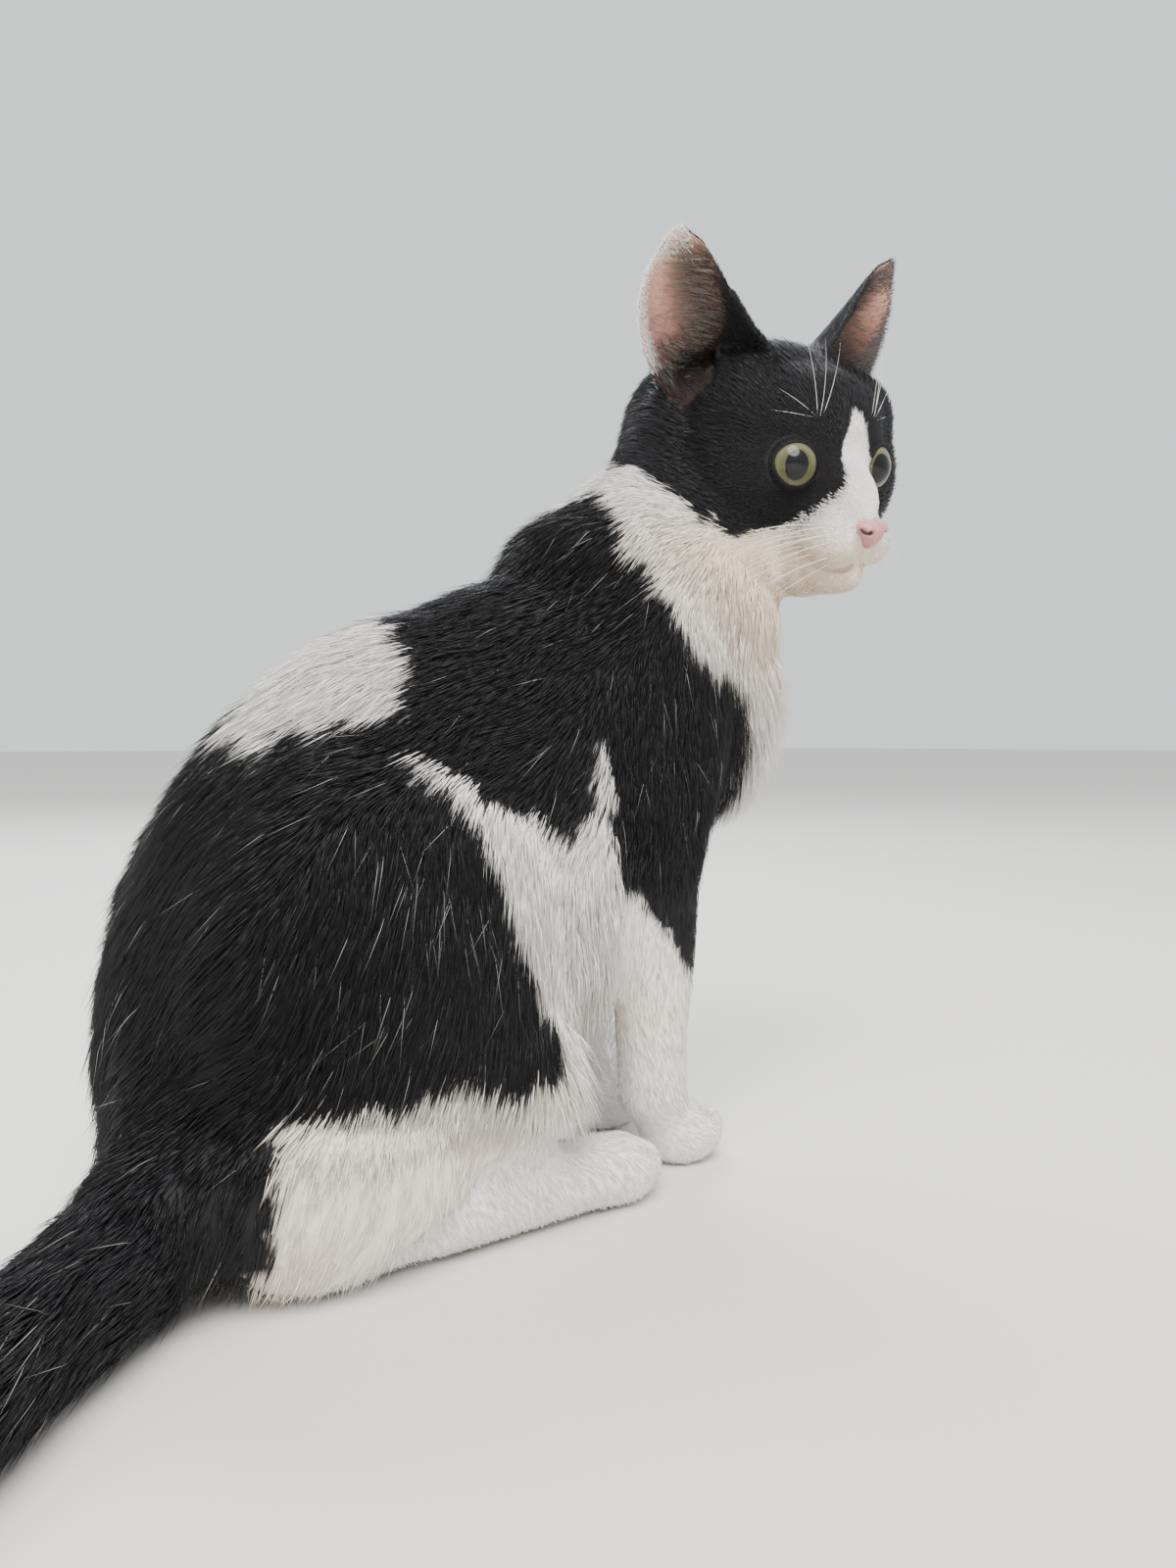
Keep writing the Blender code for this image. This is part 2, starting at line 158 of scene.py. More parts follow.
# The haunch's long hair hangs over the hind foot down to a crease: x and z in the body's frame,
# the outline of the foot itself, and how far its skin lies back under that hair.
CREASE = (
    (-58, 45), (-64, 34), (-81, 31.5), (-89, 29), (-94, 26.5), (-96, 23.5), (-100, 19.7),
    (-107, 16.5), (-113, 12.5), (-119, 9.5),
)
FOOT = (*CREASE, (-150, 4), (-150, -9), (30, -9), (30, 45))
FOOT_SUNK, FOOT_REACH = 2.6, 7
HAUNCH_HAIR = (2.0, 11.0, 0.34, 16)
# Distances inside the foot's outline (mm) over which its skin sinks and over which that hair
# ends, and how far the skin may face up to sink.
SINKS_FROM, HAIR_ENDS, SINKS_FACING = (-0.5, 2.0), (2.0, -2.0), (0.9, 0.5)
# Hair is longer and stands out more on the inner sides of the forearms, in the fringe under the
# belly and on the chest; each place is faded in along x and z, or by how far the skin faces in.
INNER_LONG, INNER_RISE, INNER_FACING = 1.6, 42, (0.1, 0.8)
FRINGE_LONG, FRINGE_RISE = 1.5, 12
FRINGE_REAR, FRINGE_FRONT, FRINGE_TOP = (-85, -65), (0, -20), (112, 88)
CHEST_LONG, CHEST_RISE = 1.4, 14
CHEST_FRONT, CHEST_LOW, CHEST_TOP = (6, 22), (105, 130), (215, 185)
# It is shorter on the toes, whose share grows over this distance (mm) behind their tips.
TOE_SHORT, TOES_BEHIND = 0.62, (20, 8)
# Where the hair parts behind the ears, it stands out more and is closer. It parts where ways that
# were evened out have become this short.
PARTED_RISE, PARTED_CLOSE, PARTED = 18, 4.0, (0.95, 0.6)
# Tufts stand this much closer together where they are smaller.
CROWDING = 0.8
# The way that the hair lies on the legs, the neck and the trunk, in the body's frame.
LIES = {
    "shoulder": (-0.22, 0, -1),
    "thigh": (-0.38, 0, -1),
    "forearm": (-0.08, 0, -1),
    "forepaw": (0.75, 0, -0.65),
    "hind_foot": (0.45, 0, -0.9),
}
THROAT_LIE, NAPE_LIE, NECK_TURN = (-0.15, 0, -0.9), (-0.75, 0, -0.7), (20, -25)
FLANK_LIE, BACK_LIE = (-0.55, 0, -0.85), (-1.0, 0, -0.5)
BACK_HEIGHT, BACK_SLOPE, BACK_TURN = 150, 0.9, (10, 50)
CHEST_LEAN, CHEST_TURN = -0.05, (-15, 15)
# On the head it lies away from the nose, drawn back, and hangs down behind the ears; on a left
# ear it lies up and out. Both are in the head's frame.
FACE_DRIFT, NAPE_DROP, NAPE_FROM = (-0.55, 0, -0.1), 1.2, (-6, -30)
EAR_LIE = (-0.25, 0.35, 1)
TAIL = ("trunk", "tail_base", "tail_middle", "tail_tip")


def kind_of(node):
    for side in SIDES:
        node = node.removesuffix("_" + side)
    return node


def lie_on(node, points):
    """The way that the hair lies at points of a node, before it is laid along the skin."""
    kind = kind_of(node)
    count = len(points)
    if kind in LIES:
        return np.tile(LIES[kind], (count, 1))
    if kind in TAIL[1:]:
        i = min(TAIL.index(kind), len(TAIL) - 2)
        return np.tile(middle(TAIL[i + 1]) - middle(TAIL[i]), (count, 1))
    if kind == "ear":
        side = SIDES[node.rpartition("_")[2]]
        return np.tile(head_way(np.array(EAR_LIE) * (1, side, 1)), (count, 1))
    if kind in FACE:
        head = in_head(points)
        away = unit(head - NOSE_TOP) + FACE_DRIFT
        away[:, 2] -= NAPE_DROP * smoothstep(*NAPE_FROM, head[:, 0])
        return away @ HEAD_AXES
    x, _, z = in_body(points).T
    if kind == "neck":
        return mixed(THROAT_LIE, NAPE_LIE, smoothstep(*NECK_TURN, x))
    way = mixed(FLANK_LIE, BACK_LIE, smoothstep(*BACK_TURN, z - (BACK_HEIGHT + BACK_SLOPE * x)))
    way[:, 0] += (CHEST_LEAN - way[:, 0]) * smoothstep(*CHEST_TURN, x)
    return way


# ---------------------------------------------------------------- markings

# Lower edge of the black mask in the head's frame: distance off the blaze's line, and height.
MASK_OFF = (0, 2.0, 4.4, 7.0, 10.4, 12.6, 15.2, 17.3, 19.2, 21.5, 33, 43, 52, 60, 70)
MASK_HEIGHT = (19, 17, 10, 0, -7.5, -11, -13.5, -16, -20, -22.3, -23.5, -22, -17, -9, 0)
# How far left the blaze stands, and how much wider it is there; where the back of the head
# begins, and the edge's height behind that.
BLAZE_SHIFT, BLAZE_SPREAD = 2.0, 0.68
MASK_REAR, REAR_HEIGHT = -2, -8
# White areas seen from the side, in the body's frame: x and z.
BIB = (
    (-14, 236), (-27, 212), (-28, 196), (-21, 185), (-16, 173), (-10, 164), (2, 157), (13, 154),
    (21, 148), (25, 136), (22, 100), (10, 70), (60, 60), (110, 120), (110, 250), (20, 250),
)
SADDLE = (
    (-84, 196), (-101, 170), (-107, 146), (-121, 141), (-146, 134), (-160, 128), (-190, 140),
    (-150, 200),
)
FLANK = (
    (-115, 134), (-97, 117), (-91, 101), (-85, 85), (-79, 72), (-73, 60), (-68, 44), (-62, 10),
    (-18, 10), (-34, 70), (-38, 81), (-41, 102), (-43, 125), (-46, 137), (-51, 112), (-60, 108),
    (-83, 117), (-97, 125),
)
HIND_WHITE = (
    (-150, 46), (-119, 46), (-104, 46.5), (-91, 44), (-80, 44), (-68, 46.5), (10, 46), (10, -9),
    (-155, -9),
)
STOCKING_TOP, STOCKING_SLOPE = 56, -1.06
# How the far side's markings are set off, how softly white meets black, and the depth for black.
FAR_SHIFT = (7, -5)
EDGE = 1.8
BLACK = -9.0
# Edges wander by sums of waves: size (mm), wavelength (mm) and seed. They wander less on the face.
RAGGED = ((2.0, 21, 3), (0.8, 8, 4))
FACE_MIDDLE, FACE_REACH, RAGGED_HEAD, RAGGED_FACE = (30, 0, -10), (45, 25), 0.9, 0.35
WAVES, WAVE_STEP, WAVE_SHIFT = 6, 0.27, 1.7
# Painted warm light on the throat: fades with height and reach (head's frame, mm), and its strength;
# and a creamy tint on the legs: fades with height and length (body's frame, mm), and its strength
# behind and added ahead.
PAINTED_LIGHT_HEIGHT, PAINTED_LIGHT_REACH, PAINTED_LIGHT_THROAT = (-12, -28), (100, 50), 0.8
CREAM_LOW, CREAM_AHEAD, CREAM_LEGS = (90, 20), (-60, -20), (0.45, 0.2)
CREAM_FOOT = (6, -4)


def wobble(points, size, seed):
    """A smooth wander between about -1 and 1 over points in mm."""
    ways = np.random.default_rng(seed).normal(size=(WAVES, 3))
    total = 0
    for i, way in enumerate(unit(ways)):
        turn = points @ way * (2 * math.pi / size) * (1 + WAVE_STEP * i)
        total = total + np.sin(turn + WAVE_SHIFT * i)
    return total / (WAVES / 2)


def inside(outline, x, z):
    """Distance inside a closed outline, less than zero outside it."""
    nearest = np.full(len(x), np.inf)
    within = np.zeros(len(x), bool)
    for (ax, az), (bx, bz) in zip(outline, (*outline[1:], outline[0])):
        dx, dz = bx - ax, bz - az
        t = np.clip(((x - ax) * dx + (z - az) * dz) / (dx * dx + dz * dz), 0, 1)
        nearest = np.minimum(nearest, np.hypot(x - ax - t * dx, z - az - t * dz))
        crosses = (az > z) != (bz > z)
        within ^= crosses & (x < ax + (z - az) * dx / (dz if dz else 1))
    return np.where(within, nearest, -nearest)


def ear_white(points):
    """How far, in mm, points lie inside the white edge of an ear; the far ear, dimmed as painted
    shade, has none.
    """
    deep = np.full(len(points), BLACK)
    for side in EAR_RIMS:
        # The far ear, dimmed as painted shade, gets no white edge.
        if EAR_PALEST[side] < 1:
            continue
        place = on_ear(points, side)
        edge = (across_cup(place, side) - EAR_EDGE) * EAR_SPAN
        edge = np.maximum(edge, (place[:, 1] - EAR_TOP) * EAR_TALL)
        edge = np.minimum(edge, (place[:, 1] - EAR_LOW) * EAR_TALL)
        deep = np.where(in_head(points)[:, 1] * side > 0, edge, deep)
    return deep


def white_share(points, nodes):
    """How white the coat is at points: 0 is black and 1 is white."""
    head, body = in_head(points), in_body(points)
    kinds = np.array([kind_of(n) for n in NODES])[nodes]
    x, y, z = body.T
    far = y > 0
    x = x + far * FAR_SHIFT[0]
    z = z + far * FAR_SHIFT[1]
    ragged = sum(size * wobble(body, length, seed) for size, length, seed in RAGGED)
    face = smoothstep(*FACE_REACH, np.linalg.norm(head - FACE_MIDDLE, axis=1))
    off = head[:, 1] - BLAZE_SHIFT
    off = np.where(off > 0, off * BLAZE_SPREAD, -off)
    mask = np.interp(off, MASK_OFF, MASK_HEIGHT) - head[:, 2]
    rear = np.minimum(mask, REAR_HEIGHT - head[:, 2])
    mask = np.where(head[:, 0] > MASK_REAR, mask, rear)
    mask = mask + ragged * (RAGGED_HEAD + (RAGGED_FACE - RAGGED_HEAD) * face)
    bib = inside(BIB, x, z) + ragged
    front = np.where(kinds == "head", mask, np.minimum(mask, bib))
    stocking = STOCKING_TOP + STOCKING_SLOPE * x - z + ragged
    back = np.maximum(inside(SADDLE, x, z), inside(FLANK, x, z)) + ragged
    back = np.maximum(back, inside(HIND_WHITE, x, z) + ragged)
    leg = np.isin(kinds, ("forearm", "forepaw"))
    deep = np.where(np.isin(kinds, (*FACE, "neck")), front, np.maximum(front, back))
    deep = np.where(leg, stocking, deep)
    deep = np.where(kinds == "ear", ear_white(points), deep)
    deep = np.where(np.isin(kinds, TAIL[1:]), BLACK, deep)
    return smoothstep(-EDGE, EDGE, deep)


def cream_and_painted_light_share(points):
    """How creamy the white coat is: painted warm light below the cheeks and on the throat, and a
    creamy tint on the lower legs.
    """
    head, body = in_head(points), in_body(points)
    near = smoothstep(*PAINTED_LIGHT_REACH, np.linalg.norm(head, axis=1))
    throat = smoothstep(*PAINTED_LIGHT_HEIGHT, head[:, 2]) * near * PAINTED_LIGHT_THROAT
    behind, ahead = CREAM_LEGS
    low = behind + ahead * smoothstep(*CREAM_AHEAD, body[:, 0])
    low = smoothstep(*CREAM_LOW, body[:, 2]) * low
    return np.maximum(throat, low * smoothstep(*CREAM_FOOT, foot_depth(points)))


# ---------------------------------------------------------------- face, ears and paws

EYE_RADIUS = 9.0
# The ways that the left eye's lids face and how far they slant, and the way each iris faces.
EYE_WAY, EYE_SLANT = (0.92, 0.38, 0.13), math.radians(14)
GAZE = {-1: (0.865, 0.49, 0.10), 1: (0.99, -0.05, 0.07)}
# The gap between the lids: its half angles, and how round it is (2 is an ellipse).
OPEN_WIDE, OPEN_HIGH, OPEN_POINT = math.radians(57), math.radians(48), 1.8
# The lids: the skin under them rises to this height over the eyeball within a depth and an angle.
LID_RISE, LID_DEPTH, LID_REACH = 0.7, 0.85, math.radians(38)
# The skin behind an eyeball: how deep it sinks, and the angles past the gap where that begins.
SUNK, SOCKET_EDGE = 1.3, (0.02, -0.08)
EYE_NEAR = 7
EVEN_REACH = (20, 16)
NOSE_TOP = (48.5, 0, -14.5)
# The ears' rims, in the head's frame: the two ends of the base, the tip, and how far the outer
# edge bows; then how deep and how round the cups are.
EAR_RIMS = {
    -1: ((2, -11, 31), (-10.5, -40, 12), (-12, -48, 65.5), 6),
    1: ((2.5, 8.5, 32), (-11, 38, 13), (-12, 47.5, 65.5), 4.5),
}
EAR_ROUND, EAR_NARROW, EAR_LEAST = 2.6, 0.55, 0.05
# The white edge: from where across an ear's cup, from where up it, and its size in mm.
EAR_EDGE, EAR_TOP, EAR_LOW = 0.93, 0.965, 0.30
EAR_SPAN, EAR_TALL = 16, 52
# How dark each ear is painted inside as shade, the far one most, and how white the hair in it and on
# its edge is at most, which on the far ear is dimmed as painted shade.
EAR_SHADE = {-1: 0.25, 1: 0.93}
EAR_PALEST = {-1: 1.0, 1: 0.14}
# Outline of an ear's hollow, as shares across the ear and up it, down to the notch in the head.
HOLLOW = (
    (1.6, 1.3), (1.6, 0.30), (1.22, 0.10), (1.10, -0.01), (0.97, -0.06), (0.70, -0.03),
    (0.39, 0.03), (0.08, 0.09), (-0.25, 0.16), (-0.50, 0.28), (-0.56, 0.42), (-0.52, 0.60),
    (-0.70, 0.80), (-0.70, 1.3),
)
# The hollow fades in over this depth (mm) and turn of the skin, within a distance of the rim (mm).
HOLLOW_SLOPE, HOLLOW_FACING, HOLLOW_NEAR = 5.0, (-0.05, 0.3), 26
# The shares of the hollow over which the coat gives way to the bare inner ear, and the angles past
# the lids' gap over which it ends at the eyes, within a distance (mm).
INNER_FROM = (0.15, 0.6)
RIM_BARE, RIM_NEAR = (0.05, 0.025), 5
# How deep the hollow goes on into the head, and the way out of it.
CONCHA_DEPTH, CONCHA_OUT, CONCHA_ROUNDS = 9.0, (0.5, 0.82, 0.15), 4
# The head is looked at from this far up the ear (mm) to tell what lies behind the cup.
BEHIND_RISE = 4.0
MOUTH = (
    (46.2, 0, -24.5), (45.0, 1.5, -29.3), (43.2, 5.0, -31.2), (40.3, 8.5, -32.0),
    (34.5, 12.0, -32.0), (30.0, 15.0, -30.5),
)
PHILTRUM = ((49.0, 0, -18.5), (46.8, 0, -23.5))
CHIN, CHIN_REACH, CHIN_WAY = (41, 0, -34), 7.5, (4.2, 0, 0.4)
GROOVE_DEPTH, GROOVE_WIDE = 1.4, 0.8
# How wide the lips' colour is, and the distances from their line at which hair ends.
LIP, LIP_BARE = 1.25, (1.45, 0.9)
# Grooves between the toes, as shares across a paw; how deep and wide they are, how far behind the
# tips they fade, how wide a hind foot is at its toes, and how long its toes are.
TOE_GROOVES = (-0.27, 0.0, 0.27)
TOE_DEPTH, TOE_WIDE, TOE_FADE = 3.0, 1.5, (17, 7)
HIND_TOES_WIDE, HIND_TOES_LONG = 26, 16
# The muzzle and the skin around the eyes have small triangles.
MUZZLE, MUZZLE_REACH = (42, 0, -24), 17
EYE_DETAIL = 15
NOSE_SUNK, NOSE_SHRINK = 3.0, 0.55


def eye_axes(side, way=EYE_WAY, slant=EYE_SLANT):
    """Middle of an eye, and the axes that it looks along: out, to the nose, and up."""
    out = unit(head_way((way[0], side * way[1], way[2])))
    level = unit(np.cross(HEAD_UP, out)) * -side
    up = unit(np.cross(out, level)) * -side
    up = up if dot(up, HEAD_UP) > 0 else -up
    turned = level * math.cos(slant) - up * math.sin(slant)
    up = level * math.sin(slant) + up * math.cos(slant)
    name = "left" if side > 0 else "right"
    return middle("eye_" + name), out, turned, up


def opening(around):
    """Half angle of the gap between the lids, for angles around the eye from its nose side."""
    wide = abs(np.cos(around) / OPEN_WIDE) ** OPEN_POINT
    high = abs(np.sin(around) / OPEN_HIGH) ** OPEN_POINT
    return (wide + high) ** (-1 / OPEN_POINT)


def eye_angles(points, side):
    """For points: distance from an eye's middle (mm), angle off its axis, and angle around."""
    centre, out, level, up = eye_axes(side)
    away = (points - centre) / MM
    far = np.linalg.norm(away, axis=1)
    off = np.arccos(np.clip(dot(away, out) / np.maximum(far, 1e-6), -1, 1))
    return far, off, np.arctan2(dot(away, up), dot(away, level))


def shape_eyes(points):
    """Sinks the skin behind each eyeball and raises it into lids around it."""
    for side in SIDES.values():
        centre = eye_axes(side)[0]
        far, off, around = eye_angles(points, side)
        gap = opening(around)
        near = far < EYE_RADIUS + EYE_NEAR
        outer, inner = SOCKET_EDGE
        hollow = smoothstep(gap + outer, gap + inner, off) * near
        lid = smoothstep(gap + LID_REACH, gap, off) * (off > gap - outer) * near
        target = np.where(far < EYE_RADIUS + LID_DEPTH, EYE_RADIUS + LID_RISE, far)
        raised = far + (target - far) * lid
        wanted = raised + (EYE_RADIUS - SUNK - raised) * hollow
        points = centre + (points - centre) * (wanted / np.maximum(far, 1e-6))[:, None]
    return points


def line_distance(points, line):
    """Distance from points to a line through the rows of line."""
    nearest = np.full(len(points), np.inf)
    for a, b in zip(np.array(line[:-1], float), np.array(line[1:], float)):
        t = np.clip((points - a) @ (b - a) / ((b - a) @ (b - a)), 0, 1)
        nearest = np.minimum(nearest, np.linalg.norm(points - a - t[:, None] * (b - a), axis=1))
    return nearest


def mouth_distance(points):
    head = in_head(points)
    head[:, 1] = abs(head[:, 1])
    return np.minimum(line_distance(head, MOUTH), line_distance(head, PHILTRUM))


def shape_chin(points):
    """Brings the chin and the lower lip forwards."""
    share = np.exp(-(np.linalg.norm(in_head(points) - CHIN, axis=1) / CHIN_REACH) ** 2)
    return points + head_way(CHIN_WAY) * (share * MM)[:, None]


def shape_mouth(points, normals):
    groove = np.exp(-(mouth_distance(points) / GROOVE_WIDE) ** 2)
    return points - normals * (groove * GROOVE_DEPTH * MM)[:, None]


def ear_frame(side):
    """Middle of an ear's base, and its axes: to its outer end, to its tip, and the way it opens."""
    medial, lateral, tip = (np.array(p, float) for p in EAR_RIMS[side][:3])
    base, half = (medial + lateral) / 2, (lateral - medial) / 2
    opens = unit(np.cross(half, tip - base)) * side
    return base, np.array([half, tip - base, opens])


def on_ear(points, side):
    """Points as shares across an ear and up it, and mm in front of its rim."""
    base, axes = ear_frame(side)
    return (in_head(points) - base) @ np.linalg.inv(axes)


def ear_way(side, way):
    """A way given across an ear, up it and out of it."""
    axes = ear_frame(side)[1]
    return unit(np.asarray(way, float) @ unit(axes)) @ HEAD_AXES


def across_cup(place, side):
    """How far across its cup a place on an ear is: -1 at the inner rim and 1 at the outer."""
    # The outer edge bows most halfway up, where 4 * rise * (1 - rise) is 1.
    half = np.linalg.norm(ear_frame(side)[1][0])
    rise = np.clip(place[:, 1], 0, 1)
    wide = np.maximum((1 - rise ** EAR_ROUND) ** EAR_NARROW, EAR_LEAST)
    bow = EAR_RIMS[side][3] / half * 4 * rise * (1 - rise)
    return (place[:, 0] - bow) / wide


def hollow_share(points, normals, side, opens=None):
    """How far points belong to an ear's hollow, from 0 to 1, and their places on the ear."""
    place = on_ear(points, side)
    size = np.linalg.norm(ear_frame(side)[1], axis=1)
    outline = [(across * size[0], up * size[1]) for across, up in HOLLOW]
    deep = inside(outline, place[:, 0] * size[0], place[:, 1] * size[1])
    opens = ear_way(side, (0, 0, 1)) if opens is None else opens
    facing = smoothstep(*HOLLOW_FACING, dot(normals, opens))
    near = (abs(place[:, 2]) < HOLLOW_NEAR) & (in_head(points)[:, 1] * side > 0)
    return smoothstep(0, HOLLOW_SLOPE, deep) * facing * near, place


def behind_ear(points, side):
    """Which points lie behind the cup of an ear, seen from the way that it opens."""
    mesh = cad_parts["ear_" + ("left" if side > 0 else "right")].data
    tree = BVHTree.FromPolygons([v.co for v in mesh.vertices], [p.vertices for p in mesh.polygons])
    start = points + ear_way(side, (0, 1, 0)) * BEHIND_RISE * MM
    opens = Vector(ear_way(side, (0, 0, 1)))
    behind = []
    for point in start.tolist():
        facing = tree.ray_cast(point, opens)[1]
        if facing and facing.dot(opens) > 0:
            facing = tree.find_nearest(point)[1]
        behind.append(facing is not None and facing.dot(opens) < 0)
    return np.array(behind)


def shape_ears(skin, points, normals):
    """Carries each ear's hollow down into the head."""
    move = np.zeros_like(points)
    for side in EAR_RIMS:
        out = unit(head_way(np.array(CONCHA_OUT) * (1, side, 1)))
        share, _ = hollow_share(points, normals, side, out)
        skin.behind[side] = skin.part("head") & behind_ear(points, side)
        share = np.where(skin.behind[side], 0, share)
        skin.sunk[side] = share
        move -= out * (share * skin.part("head") * CONCHA_DEPTH * MM)[:, None]
    return points + spread(move, skin.edges, CONCHA_ROUNDS)


def shape_nose(points, nodes):
    """Shrinks the skin behind the nose leather."""
    here = (nodes == NODES.index("nose"))[:, None]
    centre = middle("nose") - HEAD_AHEAD * NOSE_SUNK * MM
    return np.where(here, centre + (points - centre) * NOSE_SHRINK, points)


def shape_toes(points, normals, nodes):
    """Parts the toes of each paw with grooves over its front."""
    for node in ("forepaw", "hind_foot"):
        for side in SIDES:
            name = f"{node}_{side}"
            low, high = (np.array(c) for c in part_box(name))
            here = nodes == NODES.index(name)
            front = smoothstep(*TOE_FADE, (high[0] - points[:, 0]) / MM)
            wide = high[1] - low[1]
            mid = (high[1] + low[1]) / 2
            if node == "hind_foot":
                mid, wide = toe_middle(name), HIND_TOES_WIDE * MM
            groove = 0
            for share in TOE_GROOVES:
                off = (points[:, 1] - mid - share * wide) / MM
                groove = groove + np.exp(-(off / TOE_WIDE) ** 2)
            depth = groove * front * here * TOE_DEPTH * MM
            points = points - normals * depth[:, None]
    return points


def foot_depth(points):
    """How far points of the hind legs lie inside the outline of the foot, in mm."""
    x, _, z = in_body(points).T
    return inside(FOOT, x, z)


def shape_crease(points, normals, foot):
    """Sets the skin of the hind feet back below the crease under the haunch's hair."""
    flat = in_body(points) * (1, 0, 1)
    crease = line_distance(flat, [(x, 0, z) for x, z in CREASE[1:]])
    share = np.exp(-(crease / FOOT_REACH) ** 2) * smoothstep(*SINKS_FROM, foot_depth(points))
    share = share * foot * smoothstep(*SINKS_FACING, normals[:, 2])
    return points - normals * (share * FOOT_SUNK * MM)[:, None]


def toe_middle(name):
    """Across the cat, the middle of a hind foot's toes."""
    co = points_of(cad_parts[name].data)
    toes = co[co[:, 0] > co[:, 0].max() - HIND_TOES_LONG * MM]
    return (toes[:, 1].min() + toes[:, 1].max()) / 2


# ---------------------------------------------------------------- meshes

NODES = sorted(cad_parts)
FLESH = [n for n in NODES if kind_of(n) not in ("eye", "nose")]


def linked(name, mesh):
    obj = bpy.data.objects.new(name, mesh)
    bpy.context.scene.collection.objects.link(obj)
    return obj


def evaluated(obj, name):
    """A plain copy of obj with its modifiers applied; obj itself is removed."""
    bpy.context.view_layer.update()
    graph = bpy.context.evaluated_depsgraph_get()
    mesh = bpy.data.meshes.new_from_object(obj.evaluated_get(graph))
    bpy.data.objects.remove(obj)
    return linked(name, mesh)


def points_of(mesh):
    co = np.empty(len(mesh.vertices) * 3)
    mesh.vertices.foreach_get("co", co)
    return co.reshape(-1, 3)


def triangle_mesh(name, points, triangles):
    """A smooth mesh of triangles from arrays."""
    mesh = bpy.data.meshes.new(name)
    mesh.vertices.add(len(points))
    mesh.vertices.foreach_set("co", np.ascontiguousarray(points, np.float32).ravel())
    mesh.loops.add(len(triangles) * 3)
    mesh.loops.foreach_set("vertex_index", np.ascontiguousarray(triangles, np.int32).ravel())
    mesh.polygons.add(len(triangles))
    mesh.polygons.foreach_set("loop_start", np.arange(0, len(triangles) * 3, 3, dtype=np.int32))
    mesh.update(calc_edges=True)
    mesh.shade_smooth()
    return mesh


def set_values(mesh, name, values):
    attribute = mesh.attributes.new(name, "FLOAT", "POINT")
    attribute.data.foreach_set("value", np.ascontiguousarray(values, np.float32))


def set_uv(mesh, name, uv):
    """A UV map from one place for each vertex."""
    corners = np.empty(len(mesh.loops), np.int32)
    mesh.loops.foreach_get("vertex_index", corners)
    layer = mesh.uv_layers.new(name=name)
    layer.data.foreach_set("uv", np.ascontiguousarray(uv[corners], np.float32).ravel())


def normals_of(points, triangles):
    a, b, c = (points[triangles[:, i]] for i in range(3))
    faces = np.cross(b - a, c - a)
    total = np.zeros_like(points)
    for i in range(3):
        for axis in range(3):
            total[:, axis] += np.bincount(triangles[:, i], faces[:, axis], len(points))
    return unit(total)


def edges_of(triangles):
    pairs = np.concatenate([triangles[:, [0, 1]], triangles[:, [1, 2]], triangles[:, [2, 0]]])
    return np.unique(np.sort(pairs, axis=1), axis=0)


def spread(values, edges, rounds, share=0.5):
    """Values at the points of a mesh, evened out between neighbours."""
    values = np.array(values, float)
    a, b = edges.T
    count = np.bincount(a, minlength=len(values)) + np.bincount(b, minlength=len(values))
    for _ in range(rounds):
        total = np.empty_like(values)
        for i in range(values.shape[1]):
            total[:, i] = np.bincount(a, values[b, i], len(values))
            total[:, i] += np.bincount(b, values[a, i], len(values))
        values += (total / count[:, None] - values) * share
    return values


def fused_nodes():
    """All the nodes as one closed mesh, fine on the head and coarser on the body."""
    bm = bmesh.new()
    for node in NODES:
        bm.from_mesh(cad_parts[node].data)
    bmesh.ops.remove_doubles(bm, verts=bm.verts, dist=WELD)
    bm.normal_update()
    for vertex in bm.verts:
        vertex.co += vertex.normal * MEET
    mesh = bpy.data.meshes.new("skin")
    bm.to_mesh(mesh)
    bm.free()
    whole = linked("skin", mesh)
    remesh = whole.modifiers.new("Remesh", "REMESH")
    remesh.mode = "VOXEL"
    remesh.voxel_size = VOXEL
    whole = evaluated(whole, "skin")
    group = whole.vertex_groups.new(name="body")
    far = np.linalg.norm(points_of(whole.data) - SKULL, axis=1) > FINE_REACH
    group.add(np.flatnonzero(far).tolist(), 1.0, "REPLACE")
    for rounds, name in ((ALL_ROUNDS, ""), (BODY_ROUNDS, "body")):
        smooth = whole.modifiers.new("Smooth", "SMOOTH")
        smooth.factor = 0.5
        smooth.iterations = rounds
        smooth.vertex_group = name
    thin = whole.modifiers.new("Decimate", "DECIMATE")
    thin.ratio = BODY_KEEP
    thin.vertex_group = "body"
    thin.use_collapse_triangulate = True
    whole = evaluated(whole, "skin")
    bm = bmesh.new()
    bm.from_mesh(whole.data)
    fine = needs_detail(np.array([v.co for v in bm.verts]))
    edges = [e for e in bm.edges if fine[e.verts[0].index] and fine[e.verts[1].index]]
    bmesh.ops.subdivide_edges(bm, edges=edges, cuts=1)
    bmesh.ops.triangulate(bm, faces=bm.faces)
    bm.to_mesh(whole.data)
    bm.free()
    return whole


def needs_detail(points):
    """Which points are close enough to an eye or to the mouth to need small triangles."""
    near = np.linalg.norm(in_head(points) - MUZZLE, axis=1) < MUZZLE_REACH
    for side in SIDES:
        near |= np.linalg.norm(points - middle("eye_" + side), axis=1) < EYE_DETAIL * MM
    return near


def nearest_nodes(points):
    """For each point, the index of the node that it lies on."""
    corners, faces, owner = [], [], []
    for i, node in enumerate(NODES):
        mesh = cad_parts[node].data
        mesh.calc_loop_triangles()
        start = len(corners)
        corners += [v.co.copy() for v in mesh.vertices]
        faces += [[start + k for k in t.vertices] for t in mesh.loop_triangles]
        owner += [i] * len(mesh.loop_triangles)
    tree = BVHTree.FromPolygons(corners, faces)
    return np.array([owner[tree.find_nearest(p)[2]] for p in points.tolist()])


